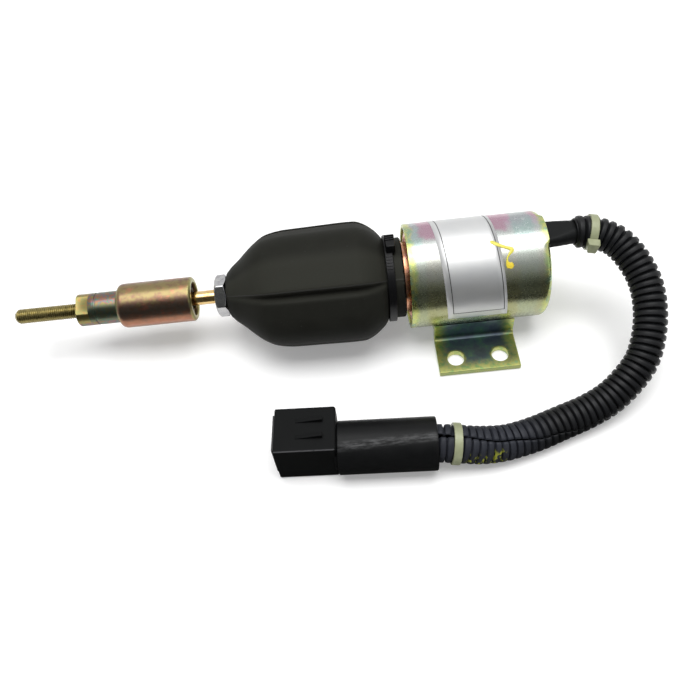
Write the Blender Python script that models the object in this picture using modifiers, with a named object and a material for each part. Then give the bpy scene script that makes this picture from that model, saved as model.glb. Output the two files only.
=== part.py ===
"""Pull-type shut-off solenoid with a spring-loaded link, a rubber boot and a plugged lead.

The solenoid's axis lies along X and the lead leaves at +X. Lengths are metres and Z is up.
The origin is on the mounting plane, under the middle of the length from stud tip to can end.
"""
import math

import bmesh
import bpy
from mathutils import Matrix, Vector

MM = 0.001

# Clearance between pieces that seat on or in each other
SEAT = 0.3 * MM
# How far a cutter reaches past the face that it cuts
OVERCUT = 1.0 * MM
# How large the empties that carry the pieces are drawn
EMPTY_SIZE = 8.0 * MM

# Steel can: a drawn cup, open towards the plunger
CAN_RADIUS = 22.2 * MM
CAN_WALL = 1.4 * MM
CAN_LENGTH = 57.0 * MM
CAN_CORNER = 3.0 * MM
PLATE_RECESS = 1.5 * MM

# Front plate with the collar that the boot is tied to
PLATE_THICKNESS = 3.0 * MM
COLLAR_RADIUS = 14.9 * MM
COLLAR_WALL = 1.4 * MM
COLLAR_REACH = 13.0 * MM

# Coil, guide tube and back pole
TUBE_WALL = 0.6 * MM
BOBBIN_WALL = 1.2 * MM
BOBBIN_FLANGE = 1.5 * MM
PULL_WINDING = 3.3 * MM
BACK_FLANGE = 5.2 * MM
POLE_REACH = 8.0 * MM

# Plunger, rod and jam nut
PLUNGER_RADIUS = 9.5 * MM
PLUNGER_CLEARANCE = 0.4 * MM
STROKE = 25.4 * MM
STROKE_REST = 0.6 * MM
PLUNGER_NECK_RADIUS = 6.0 * MM
PLUNGER_NOSE_RADIUS = 7.3 * MM
PLUNGER_NOSE_LENGTH = 5.5 * MM
ROD_RADIUS = 3.0 * MM
ROD_GRIP = 12.0 * MM
NUT_FLATS = 15.9 * MM
NUT_LENGTH = 5.0 * MM
NUT_TURN = math.radians(44)

# Rubber boot: four lobes between a narrow nose and a round cuff
BOOT_LENGTH = 74.6 * MM
BOOT_CLEAR = 1.5 * MM
BOOT_WALL = 1.8 * MM
BOOT_NOSE_RADIUS = 9.3 * MM
LOBE_TIP_RADIUS = 26.3 * MM
LOBE_OFFSET = 8.0 * MM
LOBE_ROUND = 17.8 * MM
FLANK_LEAN = math.radians(30)
GROOVE_DEPTH = 4.2 * MM
GROOVE_HALF = math.radians(7.2)
LOBES = 4
BOOT_SIDES = 40
# Each station: share of the length, of the swell from the end's radius, and of the lobe offset
BOOT_NOSE_STATIONS = (
    (0.000, 0.00, 0.00), (0.035, 0.24, 0.08), (0.078, 0.45, 0.20), (0.146, 0.74, 0.50),
    (0.194, 0.84, 0.75), (0.248, 0.88, 0.93), (0.350, 0.94, 1.00), (0.507, 0.97, 1.00),
    (0.650, 1.00, 1.00),
)
BOOT_CUFF_STATIONS = (
    (0.725, 1.00, 1.00), (0.760, 0.77, 0.97), (0.812, 0.38, 0.72), (0.850, 0.38, 0.35),
    (0.868, 0.10, 0.12), (0.880, 0.00, 0.00), (1.000, 0.00, 0.00),
)

# Return spring round the plunger and the retainer that it pushes on
RETURN_WIRE = 1.7 * MM
RETURN_RADIUS = 12.2 * MM
RETURN_TURNS = 9
RETAINER_PLACE = 14.1 * MM
RETAINER_SHEET = 1.2 * MM
RETAINER_RADIUS = 14.2 * MM
RETAINER_RIM = 2.4 * MM
RETAINER_GROOVE = 1.0 * MM

# Link: a housing that slides on the rod's head against a spring, with a threaded stud
LINK_RADIUS = 9.525 * MM
LINK_BORE = 7.2 * MM
LINK_BODY = 32.1 * MM
LINK_NECK_RADIUS = 6.9 * MM
LINK_NECK = 17.9 * MM
LINK_SHOULDER = 2.2 * MM
LINK_FLOOR = 2.9 * MM
LINK_GAP = 9.8 * MM
FLATS_WIDTH = 11.0 * MM
FLATS_LENGTH = 5.4 * MM
FLATS_TURN = math.radians(109)
NECK_GROOVE = 0.8 * MM
NECK_GROOVE_DEPTH = 0.4 * MM
NECK_GROOVE_PLACE = 8.0 * MM
STUD_RADIUS = 3.175 * MM
STUD_LENGTH = 41.5 * MM
STUD_GRIP = 13.7 * MM
ROD_HEAD_RADIUS = 6.6 * MM
ROD_HEAD_LENGTH = 6.0 * MM
LINK_WIRE = 1.3 * MM
LINK_SPRING_RADIUS = 5.2 * MM
LINK_TURNS = 6
WASHER_THICKNESS = 1.2 * MM
RING_THICKNESS = 1.0 * MM
RING_INSET = 1.5 * MM
RING_GROOVE = 0.8 * MM
RING_GAP_HALF = math.radians(14)

# Base bracket: one folded sheet that cradles the can
SHEET = 2.5 * MM
BRACKET_LENGTH = 34.6 * MM
BRACKET_PLACE = 10.2 * MM
BRACKET_HALF = 35.4 * MM
LEG_HALF = 17.3 * MM
BEND_RADIUS = 2.0 * MM
HOLE_RADIUS = 3.57 * MM
HOLE_SPACING = 19.05 * MM
HOLE_EDGE = 6.825 * MM

# Lead: flat sleeve, corrugated conduit, cable ties
SLEEVE_WIDTH = 12.0 * MM
SLEEVE_HEIGHT = 5.0 * MM
SLEEVE_CORNER = 1.6 * MM
SLEEVE_OUT = 9.2 * MM
SLEEVE_LIFT = 16.8 * MM
WINDOW_SIDE = 0.7 * MM
CONDUIT_RADIUS = 6.6 * MM
TIE_WIDTH = 3.2 * MM
TIE_BAND = 1.2 * MM
TIE_HEAD = (5.2 * MM, 6.0 * MM, 3.6 * MM)
BOOT_TIE_SIZE = (4.6 * MM, 7.8 * MM, 4.2 * MM)
BOOT_TIE_PLACE = 8.3 * MM
BOOT_TIE_HEAD = math.radians(79)

# Plug: moulded housing with a round sleeve behind it
PLUG_YAW = math.radians(-3.3)
PLUG_LIFT = 0.1 * MM
PLUG_ORIGIN_ALONG = -35.2 * MM
PLUG_ORIGIN_ACROSS = -70.4 * MM
PLUG_LENGTH = 23.8 * MM
PLUG_WIDTH = 19.2 * MM
PLUG_HEIGHT = 21.5 * MM
PLUG_OFFSET = 3.0 * MM
PLUG_WALL = 1.7 * MM
SOCKET_DEPTH = 17.0 * MM
SPIGOT_RADIUS = 8.4 * MM
SPIGOT_LENGTH = 8.5 * MM
SLEEVE_RADIUS = 10.5 * MM
PLUG_SLEEVE_LENGTH = 38.2 * MM
MOUTH_DEPTH = 9.5 * MM
SEAL_WALL = 1.2 * MM
SEAL_DEPTH = 12.0 * MM
SEAL_PROUD = 0.9 * MM
RAMP_LENGTH = 10.4 * MM
RAMP_WIDTH = 1.7 * MM
RAMP_HEIGHT = 1.9 * MM
RAMP_PITCH = 7.0 * MM
RAMP_PLACE = 5.0 * MM
TERMINALS = 3
TERMINAL_PITCH = 5.0 * MM
BLADE = (12.0 * MM, 0.8 * MM, 2.8 * MM)
BARREL_RADIUS = 1.3 * MM
WIRE_RADIUS = 1.1 * MM

# Sizes that follow from the ones above
AXIS_HEIGHT = LOBE_TIP_RADIUS
CAN_BORE = CAN_RADIUS - CAN_WALL
PLATE_BACK = PLATE_RECESS + PLATE_THICKNESS
TUBE_BORE = PLUNGER_RADIUS + PLUNGER_CLEARANCE
TUBE_RADIUS = TUBE_BORE + TUBE_WALL
BACK_FACE = CAN_LENGTH - CAN_WALL - SEAT - BACK_FLANGE
POLE_FRONT = BACK_FACE - POLE_REACH
BOBBIN_FRONT = PLATE_BACK + SEAT
BOBBIN_BACK = BACK_FACE - SEAT
PLUNGER_BACK = POLE_FRONT - STROKE_REST - STROKE
BOOT_BACK = -BOOT_CLEAR
BOOT_FRONT = BOOT_BACK - BOOT_LENGTH
CUFF_RADIUS = COLLAR_RADIUS + SEAT + BOOT_WALL
PLUNGER_SHOULDER = BOOT_FRONT + BOOT_WALL + SEAT
NUT_BACK = BOOT_FRONT - SEAT
NUT_FRONT = NUT_BACK - NUT_LENGTH
LINK_BACK = NUT_FRONT - LINK_GAP
LINK_FRONT = LINK_BACK - LINK_BODY
NECK_FRONT = LINK_FRONT - LINK_NECK
BORE_FLOOR = LINK_FRONT + LINK_FLOOR
STUD_BACK = NECK_FRONT + STUD_GRIP
STUD_TIP = STUD_BACK - STUD_LENGTH
HEAD_FRONT = BORE_FLOOR + SEAT
HEAD_BACK = HEAD_FRONT + ROD_HEAD_LENGTH
RING_BACK = LINK_BACK - RING_INSET
RING_FRONT = RING_BACK - RING_THICKNESS
WASHER_BACK = RING_FRONT - SEAT
WASHER_FRONT = WASHER_BACK - WASHER_THICKNESS
RETAINER_FRONT = BOOT_FRONT + RETAINER_PLACE
RETAINER_BACK = RETAINER_FRONT + RETAINER_SHEET
CAN_FRONT_X = -(STUD_TIP + CAN_LENGTH) / 2
SLEEVE_END = CAN_LENGTH + SLEEVE_OUT

# Route of the conduit from the flat sleeve to the plug: along and across from the can's front
# rim on its axis, and height above the mounting plane
CONDUIT_ROUTE = (
    (66.5, 0.0, 43.1), (71.5, -0.3, 43.1), (78.0, -2.4, 42.4), (84.0, -7.6, 40.6),
    (88.6, -14.6, 37.6), (91.6, -23.0, 33.6), (92.6, -32.0, 28.8), (91.6, -41.0, 23.4),
    (88.0, -49.4, 18.0), (82.0, -56.4, 13.4), (74.0, -61.6, 9.8), (64.5, -65.4, 7.6),
    (53.5, -68.4, 6.8), (41.5, -70.9, 6.7), (30.0, -72.9, 7.2), (20.0, -73.6, 8.6),
    (11.0, -73.1, 10.1), (3.0, -72.6, 10.6), (-6.0, -72.1, 10.6),
)
CONDUIT_POINT_COUNT = 26
UPPER_TIE_SHARE = 0.075
LOWER_TIE_SHARE = 0.893
UPPER_TIE_HEAD = math.radians(177)
LOWER_TIE_HEAD = math.radians(212)

YELLOW_ZINC = ((0.62, 0.58, 0.34), 0.32, 1.0)
PINK_ZINC = ((0.66, 0.45, 0.33), 0.34, 1.0)
OLIVE_ZINC = ((0.36, 0.31, 0.18), 0.42, 1.0)
GREEN_ZINC = ((0.22, 0.28, 0.24), 0.34, 1.0)
BRIGHT_ZINC = ((0.62, 0.63, 0.66), 0.25, 1.0)
GOLD_ZINC = ((0.68, 0.50, 0.22), 0.28, 1.0)
SPRING_STEEL = ((0.40, 0.40, 0.41), 0.35, 1.0)
BARE_STEEL = ((0.50, 0.50, 0.50), 0.40, 1.0)
BRASS = ((0.70, 0.55, 0.25), 0.30, 1.0)
COPPER = ((0.72, 0.33, 0.20), 0.25, 1.0)
COPPER_WIRE = ((0.55, 0.25, 0.12), 0.38, 1.0)
RUBBER = ((0.035, 0.036, 0.030), 0.55, 0.0)
BLACK_PLASTIC = ((0.025, 0.025, 0.027), 0.45, 0.0)
GREY_PLASTIC = ((0.055, 0.055, 0.060), 0.50, 0.0)
NATURAL_NYLON = ((0.78, 0.76, 0.62), 0.45, 0.0)
TIN = ((0.66, 0.66, 0.64), 0.30, 1.0)


def clear_scene():
    for old in list(bpy.data.objects):
        bpy.data.objects.remove(old, do_unlink=True)


def make_collection(name):
    collection = bpy.data.collections.new(name)
    bpy.context.scene.collection.children.link(collection)
    return collection


def make_empty(name, parent, matrix):
    empty = bpy.data.objects.new(name, None)
    empty.empty_display_size = EMPTY_SIZE
    PARTS.objects.link(empty)
    empty.parent = parent
    empty.matrix_local = matrix
    return empty


def dress(name, obj, finish):
    """Give a piece its own Principled material."""
    colour, roughness, metallic = finish
    material = bpy.data.materials.new(name)
    material.use_nodes = True
    shader = material.node_tree.nodes["Principled BSDF"]
    shader.inputs["Base Color"].default_value = (*colour, 1.0)
    shader.inputs["Roughness"].default_value = roughness
    shader.inputs["Metallic"].default_value = metallic
    obj.data.materials.clear()
    obj.data.materials.append(material)


def add_object(name, data, parent, finish):
    """A piece of the part when it has a finish, and otherwise a cutter."""
    obj = bpy.data.objects.new(name, data)
    obj.parent = parent
    if finish:
        PARTS.objects.link(obj)
        dress(name, obj, finish)
    else:
        CUTTERS.objects.link(obj)
        obj.hide_render = True
        obj.display_type = "WIRE"
    return obj


def evaluated_mesh(obj):
    bpy.context.view_layer.update()
    depsgraph = bpy.context.evaluated_depsgraph_get()
    return bpy.data.meshes.new_from_object(obj.evaluated_get(depsgraph))


def tidy_mesh(mesh, smooth):
    """Weld a mesh's loose caps, turn its faces outward and set its shading."""
    bm = bmesh.new()
    bm.from_mesh(mesh)
    bmesh.ops.remove_doubles(bm, verts=bm.verts, dist=0.001 * MM)
    bmesh.ops.recalc_face_normals(bm, faces=bm.faces)
    bm.to_mesh(mesh)
    bm.free()
    if smooth:
        mesh.shade_smooth()
        mesh.set_sharp_from_angle(angle=math.radians(35))


def turned(name, outline, parent, finish=None, steps=32):
    """Revolve (along, radius) points about the parent's Z axis; ends at radius 0 stay open."""
    area = sum(a[0] * b[1] - b[0] * a[1] for a, b in zip(outline, outline[1:] + outline[:1]))
    points = outline if area > 0 else outline[::-1]
    mesh = bpy.data.meshes.new(name)
    bm = bmesh.new()
    verts = [bm.verts.new((radius, 0, along)) for along, radius in points]
    for first, second in zip(verts, verts[1:]):
        bm.edges.new((first, second))
    if points[0][1] or points[-1][1]:
        bm.edges.new((verts[-1], verts[0]))
    bm.to_mesh(mesh)
    bm.free()
    obj = add_object(name, mesh, parent, finish)
    screw = obj.modifiers.new("turn", "SCREW")
    screw.angle = 2 * math.pi
    screw.steps = steps
    screw.render_steps = steps
    screw.use_merge_vertices = True
    screw.merge_threshold = 0.001 * MM
    solid = evaluated_mesh(obj)
    obj.modifiers.clear()
    obj.data = solid
    tidy_mesh(solid, True)
    return obj


def plate(name, outline, low, high, parent, finish=None, smooth=False):
    """A flat outline in the parent's XY plane, filled from low to high along its Z."""
    curve = bpy.data.curves.new(name, "CURVE")
    curve.dimensions = "2D"
    curve.fill_mode = "BOTH"
    curve.extrude = (high - low) / 2
    spline = curve.splines.new("POLY")
    spline.points.add(len(outline) - 1)
    for point, (x, y) in zip(spline.points, outline):
        point.co = (x, y, 0, 1)
    spline.use_cyclic_u = True
    draft = bpy.data.objects.new(name + "_outline", curve)
    CUTTERS.objects.link(draft)
    mesh = evaluated_mesh(draft)
    bpy.data.objects.remove(draft)
    mesh.transform(Matrix.Translation((0, 0, (low + high) / 2)))
    tidy_mesh(mesh, smooth)
    return add_object(name, mesh, parent, finish)


def block(name, size, centre, parent, finish=None, rotation=None):
    """A box of a given size about a centre."""
    mesh = bpy.data.meshes.new(name)
    bm = bmesh.new()
    bmesh.ops.create_cube(bm, size=1.0, matrix=Matrix.Diagonal((*size, 1.0)))
    bm.to_mesh(mesh)
    bm.free()
    obj = add_object(name, mesh, parent, finish)
    obj.location = centre
    if rotation:
        obj.rotation_euler = rotation
    return obj


def wire(name, points, radius, parent, finish, rings=2):
    """A round wire or tube along points, with filled ends."""
    curve = bpy.data.curves.new(name, "CURVE")
    curve.dimensions = "3D"
    curve.bevel_depth = radius
    curve.bevel_resolution = rings
    curve.use_fill_caps = True
    spline = curve.splines.new("POLY")
    spline.points.add(len(points) - 1)
    for point, place in zip(spline.points, points):
        point.co = (*place, 1)
    spline.use_smooth = True
    return add_object(name, curve, parent, finish)


def combine(target, other, operation):
    step = target.modifiers.new(operation.lower() + "_" + other.name, "BOOLEAN")
    step.operation = operation
    step.object = other
    step.solver = "EXACT"


def arc(centre, radius, start, end, count):
    """Points along an arc, in the order from start to end."""
    turns = [start + (end - start) * i / count for i in range(count + 1)]
    return [(centre[0] + radius * math.cos(t), centre[1] + radius * math.sin(t)) for t in turns]


def around(angle, radius, along=0.0):
    """A place round the solenoid's axis; the angle runs from +Y up towards +Z in the world."""
    return Vector((-radius * math.sin(angle), radius * math.cos(angle), along))


def rounded_box(width, height, corner, centre=(0.0, 0.0)):
    """Outline of a rectangle with round corners."""
    points = []
    for index, (sx, sy) in enumerate(((1, 1), (-1, 1), (-1, -1), (1, -1))):
        middle = (centre[0] + sx * (width / 2 - corner), centre[1] + sy * (height / 2 - corner))
        points += arc(middle, corner, index * math.pi / 2, (index + 1) * math.pi / 2, 3)
    return points


def smooth_route(stations, count):
    """Evenly numbered places on a Catmull-Rom curve through the stations."""
    knots = [Vector(s) for s in stations]
    knots = [2 * knots[0] - knots[1]] + knots + [2 * knots[-1] - knots[-2]]
    places = []
    for index in range(count):
        position = index / (count - 1) * (len(stations) - 1)
        span = min(int(position), len(stations) - 2)
        t = position - span
        a, b, c, d = knots[span:span + 4]
        places.append(0.5 * (2 * b + (c - a) * t + (2 * a - 5 * b + 4 * c - d) * t ** 2
                             + (3 * b - a - 3 * c + d) * t ** 3))
    return places


def spring_path(start, end, radius, wire_radius, turns, per_turn=10):
    """Helix between two seats, with one closed turn at each end."""
    low = start + wire_radius
    high = end - wire_radius
    closed = 2 * wire_radius
    steps = turns * per_turn
    points = []
    for index in range(steps + 1):
        turn = index / per_turn
        if turn < 1:
            along = low + closed * turn
        elif turn > turns - 1:
            along = high - closed * (turns - turn)
        else:
            along = low + closed + (high - low - 2 * closed) * (turn - 1) / (turns - 2)
        points.append(around(2 * math.pi * turn, radius, along))
    return points


def make_can():
    """Drawn cup with a rounded rear corner and a window with a straight lip for the lead."""
    inner_corner = CAN_WALL
    end = CAN_LENGTH - CAN_WALL
    can = turned("can", [
        (0.0, CAN_RADIUS), (CAN_LENGTH, CAN_RADIUS), (CAN_LENGTH, 0.0),
        (end, 0.0), (end, CAN_BORE - inner_corner), (end - inner_corner, CAN_BORE),
        (0.0, CAN_BORE),
    ], AXIS, YELLOW_ZINC, steps=48)
    centre = (CAN_LENGTH - CAN_CORNER, CAN_RADIUS - CAN_CORNER)
    corner = turned("can_corner_cutter", arc(centre, CAN_CORNER, math.pi / 2, 0, 5) + [
        (CAN_LENGTH + OVERCUT, CAN_RADIUS - CAN_CORNER),
        (CAN_LENGTH + OVERCUT, CAN_RADIUS + OVERCUT),
        (CAN_LENGTH - CAN_CORNER, CAN_RADIUS + OVERCUT),
    ], AXIS, steps=48)
    half = SLEEVE_WIDTH / 2 + WINDOW_SIDE
    lip = block("can_lip_guide", (CAN_RADIUS, 2 * half, 3 * CAN_CORNER),
                (-CAN_RADIUS, 0, CAN_LENGTH), AXIS)
    combine(corner, lip, "DIFFERENCE")
    combine(can, corner, "DIFFERENCE")
    foot = SLEEVE_LIFT - SLEEVE_HEIGHT / 2 - WINDOW_SIDE
    lean = math.asin(half / CAN_BORE)
    window = [(-foot, half), (-foot, -half)]
    window += arc((0, 0), CAN_BORE, math.pi + lean, math.pi - lean, 6)
    cutter = plate("can_window_cutter", window, BACK_FACE, CAN_LENGTH + OVERCUT, AXIS)
    combine(can, cutter, "DIFFERENCE")


def make_front_plate():
    """Plate inside the rim with the collar under the boot's cuff, turned as one."""
    inner = COLLAR_RADIUS - COLLAR_WALL
    bore = TUBE_RADIUS + SEAT
    rim = CAN_BORE - SEAT
    nose = PLATE_RECESS - COLLAR_REACH
    turned("front_plate", [
        (PLATE_BACK, bore), (PLATE_RECESS, bore), (PLATE_RECESS, inner), (nose, inner),
        (nose, COLLAR_RADIUS), (PLATE_RECESS, COLLAR_RADIUS), (PLATE_RECESS, rim),
        (PLATE_BACK, rim),
    ], AXIS, COPPER, steps=32)


def make_coil():
    """Guide tube, bobbin, two windings and the back pole, nested from the axis outwards."""
    turned("guide_tube", [
        (PLATE_RECESS, TUBE_BORE), (PLATE_RECESS, TUBE_RADIUS),
        (BOBBIN_BACK, TUBE_RADIUS), (BOBBIN_BACK, TUBE_BORE),
    ], AXIS, BRASS, steps=32)
    hub = TUBE_RADIUS + SEAT
    core = hub + BOBBIN_WALL
    rim = CAN_BORE - SEAT
    front = BOBBIN_FRONT + BOBBIN_FLANGE
    back = BOBBIN_BACK - BOBBIN_FLANGE
    turned("coil_bobbin", [
        (BOBBIN_FRONT, hub), (BOBBIN_FRONT, rim), (front, rim), (front, core),
        (back, core), (back, rim), (BOBBIN_BACK, rim), (BOBBIN_BACK, hub),
    ], AXIS, BLACK_PLASTIC, steps=32)
    pull = core + SEAT + PULL_WINDING
    rings = (("pull_winding", core + SEAT, pull), ("hold_winding", pull + SEAT, rim - SEAT))
    for name, low, high in rings:
        turned(name, [
            (front + SEAT, low), (front + SEAT, high), (back - SEAT, high), (back - SEAT, low),
        ], AXIS, COPPER_WIRE, steps=32)
    pole = TUBE_BORE - SEAT
    end = BACK_FACE + BACK_FLANGE
    chamfer = CAN_WALL + SEAT
    stop = turned("back_pole", [
        (POLE_FRONT, 0.0), (POLE_FRONT, pole), (BACK_FACE, pole), (BACK_FACE, rim),
        (end - chamfer, rim), (end, rim - chamfer), (end, 0.0),
    ], AXIS, BARE_STEEL, steps=32)
    foot = SLEEVE_LIFT - SLEEVE_HEIGHT / 2 - WINDOW_SIDE
    notch = block("back_pole_notch_cutter",
                  (CAN_RADIUS, SLEEVE_WIDTH + 2 * WINDOW_SIDE, 2 * BACK_FLANGE),
                  (-foot - CAN_RADIUS / 2, 0, BACK_FACE + BACK_FLANGE / 2), AXIS)
    combine(stop, notch, "DIFFERENCE")


def make_bracket():
    """Folded sheet: a cradle under the can, two legs and two flanges with two holes each."""
    cradle = CAN_RADIUS + SEAT
    under = cradle + SHEET
    inner_leg = LEG_HALF - SHEET
    outer_bend = BEND_RADIUS + SHEET
    lean = math.asin(LEG_HALF / cradle)
    inner_lean = math.asin(inner_leg / under)
    half = []
    for i in range(7):
        turn = lean * i / 6
        half.append((cradle * math.sin(turn), AXIS_HEIGHT - cradle * math.cos(turn)))
    knee = LEG_HALF + BEND_RADIUS
    half += arc((knee, SHEET + BEND_RADIUS), BEND_RADIUS, math.pi, 1.5 * math.pi, 4)
    half += [(BRACKET_HALF, SHEET), (BRACKET_HALF, 0.0)]
    half += arc((inner_leg + outer_bend, outer_bend), outer_bend, 1.5 * math.pi, math.pi, 4)
    for i in range(6, -1, -1):
        turn = inner_lean * i / 6
        half.append((under * math.sin(turn), AXIS_HEIGHT - under * math.cos(turn)))
    mirrored = [(-y, z) for y, z in half[::-1]]
    whole = [(AXIS_HEIGHT - z, y) for y, z in half + mirrored[1:-1]]
    bracket = plate("bracket", whole, BRACKET_PLACE, BRACKET_PLACE + BRACKET_LENGTH, AXIS,
                    GREEN_ZINC)
    middle = BRACKET_PLACE + BRACKET_LENGTH / 2
    for side in (-1, 1):
        for end in (-1, 1):
            mesh = bpy.data.meshes.new("bolt_hole_cutter")
            bm = bmesh.new()
            bmesh.ops.create_cone(bm, cap_ends=True, segments=20, radius1=HOLE_RADIUS,
                                  radius2=HOLE_RADIUS, depth=SHEET + 2 * OVERCUT)
            bm.to_mesh(mesh)
            bm.free()
            cutter = add_object("bolt_hole_cutter", mesh, None, None)
            cutter.location = (CAN_FRONT_X + middle + end * HOLE_SPACING / 2,
                               side * (BRACKET_HALF - HOLE_EDGE), SHEET / 2)
            combine(bracket, cutter, "DIFFERENCE")


def arc_reach(turn, radius, offset):
    """Distance from the axis to a circle whose centre is set off from it."""
    return offset * math.cos(turn) + math.sqrt(radius ** 2 - (offset * math.sin(turn)) ** 2)


def lobe_reach(angle, radius, offset):
    """Distance from the axis to the skin, which turns from round to lobed as the offset grows.

    A full lobe is a round tip and two straight flanks that end at narrow grooves.
    """
    pitch = 2 * math.pi / LOBES
    turn = abs((angle + pitch / 2) % pitch - pitch / 2)
    centre = LOBE_TIP_RADIUS - LOBE_ROUND
    flank_start = math.atan2(LOBE_ROUND * math.sin(FLANK_LEAN),
                             centre + LOBE_ROUND * math.cos(FLANK_LEAN))
    if turn < flank_start:
        full = arc_reach(turn, LOBE_ROUND, centre)
    else:
        flank = LOBE_ROUND + centre * math.cos(FLANK_LEAN)
        full = flank / math.cos(turn - FLANK_LEAN)
    full -= GROOVE_DEPTH * max(0.0, 1 - (pitch / 2 - turn) / GROOVE_HALF)
    full *= (radius + offset) / LOBE_TIP_RADIUS
    lobed = offset / LOBE_OFFSET
    return full * lobed + arc_reach(turn, radius, offset) * (1 - lobed)


def boot_turns():
    """Turns of the skin's points: even over each lobe, then one in the middle of each groove."""
    pitch = 2 * math.pi / LOBES
    count = BOOT_SIDES // LOBES // 2
    step = (pitch / 2 - GROOVE_HALF) / (count - 1)
    rise = [step * i for i in range(count)]
    lobe = rise + [pitch / 2] + [pitch - turn for turn in rise[:0:-1]]
    return [pitch * number + turn for number in range(LOBES) for turn in lobe]


def make_boot():
    """Lobed boot: rings lofted along the stations, thickened inwards."""
    circle = LOBE_TIP_RADIUS - LOBE_OFFSET
    turns = boot_turns()
    rings = [(0.0, PLUNGER_NECK_RADIUS + SEAT, 0.0)]
    for stations, end_radius in ((BOOT_NOSE_STATIONS, BOOT_NOSE_RADIUS),
                                 (BOOT_CUFF_STATIONS, CUFF_RADIUS)):
        for share, swell, lobe in stations:
            rings.append((share, end_radius + swell * (circle - end_radius), lobe * LOBE_OFFSET))
    mesh = bpy.data.meshes.new("boot")
    bm = bmesh.new()
    loops = []
    for share, radius, offset in rings:
        along = BOOT_FRONT + share * BOOT_LENGTH
        loops.append([bm.verts.new(around(t, lobe_reach(t, radius, offset), along))
                      for t in turns])
    for first, second in zip(loops, loops[1:]):
        for i in range(len(turns)):
            j = (i + 1) % len(turns)
            bm.faces.new((first[i], first[j], second[j], second[i]))
    bmesh.ops.recalc_face_normals(bm, faces=bm.faces)
    bm.to_mesh(mesh)
    bm.free()
    mesh.shade_smooth()
    boot = add_object("boot", mesh, AXIS, RUBBER)
    shell = boot.modifiers.new("wall", "SOLIDIFY")
    shell.thickness = BOOT_WALL
    shell.offset = -1
    shell.use_even_offset = True


def cable_tie(name, parent, along, inner_radius, head_size, head_angle, finish):
    """Band with its square head."""
    low = along - TIE_WIDTH / 2
    high = along + TIE_WIDTH / 2
    outer = inner_radius + TIE_BAND
    tie = turned(name, [
        (low, inner_radius), (low, outer), (high, outer), (high, inner_radius),
    ], parent, finish, steps=24)
    width, length, height = head_size
    seat = inner_radius + SEAT
    head = block(name + "_head", (height, length, width),
                 around(head_angle, seat + height / 2, along), parent,
                 rotation=(0, 0, math.pi / 2 + head_angle))
    combine(tie, head, "UNION")


def make_plunger():
    """Plunger with the neck that the boot's nose and the nut close on, and the rod."""
    hole = ROD_RADIUS + SEAT
    grip = PLUNGER_SHOULDER + ROD_GRIP
    groove_front = RETAINER_FRONT - SEAT
    groove_back = RETAINER_BACK + SEAT
    groove = PLUNGER_RADIUS - RETAINER_GROOVE
    chamfer = 1.0 * MM
    turned("plunger", [
        (grip, 0.0), (grip, hole), (BOOT_FRONT, hole), (BOOT_FRONT, PLUNGER_NECK_RADIUS),
        (PLUNGER_SHOULDER, PLUNGER_NECK_RADIUS), (PLUNGER_SHOULDER, PLUNGER_NOSE_RADIUS),
        (PLUNGER_SHOULDER + PLUNGER_NOSE_LENGTH, PLUNGER_RADIUS),
        (groove_front, PLUNGER_RADIUS), (groove_front, groove), (groove_back, groove),
        (groove_back, PLUNGER_RADIUS), (PLUNGER_BACK - chamfer, PLUNGER_RADIUS),
        (PLUNGER_BACK, PLUNGER_RADIUS - chamfer), (PLUNGER_BACK, 0.0),
    ], PLUNGER_TRAVEL, BARE_STEEL, steps=28)
    rod_chamfer = 0.6 * MM
    rod_back = grip - SEAT
    turned("rod", [
        (HEAD_FRONT, 0.0), (HEAD_FRONT, ROD_RADIUS - rod_chamfer),
        (HEAD_FRONT + rod_chamfer, ROD_RADIUS), (rod_back, ROD_RADIUS), (rod_back, 0.0),
    ], PLUNGER_TRAVEL, GOLD_ZINC, steps=20)
    turned("rod_head", [
        (HEAD_FRONT, hole), (HEAD_FRONT, ROD_HEAD_RADIUS - chamfer),
        (HEAD_FRONT + chamfer, ROD_HEAD_RADIUS), (HEAD_BACK - chamfer, ROD_HEAD_RADIUS),
        (HEAD_BACK, ROD_HEAD_RADIUS - chamfer), (HEAD_BACK, hole),
    ], PLUNGER_TRAVEL, BRIGHT_ZINC, steps=24)
    make_nut(hole)
    make_retainer(groove)


def make_nut(hole):
    """Hexagon with its corners turned off at a chamfer."""
    corner = NUT_FLATS / 2 / math.cos(math.pi / 6)
    drop = (corner - NUT_FLATS / 2) * math.tan(math.radians(30))
    nut = turned("jam_nut", [
        (NUT_FRONT, hole), (NUT_FRONT, NUT_FLATS / 2), (NUT_FRONT + drop, corner),
        (NUT_BACK - drop, corner), (NUT_BACK, NUT_FLATS / 2), (NUT_BACK, hole),
    ], PLUNGER_TRAVEL, BRIGHT_ZINC, steps=30)
    hexagon = [around(NUT_TURN + i * math.pi / 3, corner)[:2] for i in range(6)]
    prism = plate("jam_nut_hexagon", hexagon, NUT_FRONT - OVERCUT, NUT_BACK + OVERCUT,
                  PLUNGER_TRAVEL)
    combine(nut, prism, "INTERSECT")


def make_retainer(groove):
    """Pressed cup, snapped into the plunger's groove, with a rim round the spring."""
    hole = groove + SEAT
    rim_inner = RETAINER_RADIUS - RETAINER_SHEET
    turned("spring_retainer", [
        (RETAINER_FRONT, hole), (RETAINER_FRONT, RETAINER_RADIUS - RETAINER_SHEET / 2),
        (RETAINER_FRONT + RETAINER_SHEET / 2, RETAINER_RADIUS),
        (RETAINER_FRONT + RETAINER_RIM, RETAINER_RADIUS),
        (RETAINER_FRONT + RETAINER_RIM, rim_inner), (RETAINER_BACK, rim_inner),
        (RETAINER_BACK, hole),
    ], PLUNGER_TRAVEL, BRIGHT_ZINC, steps=32)


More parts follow.
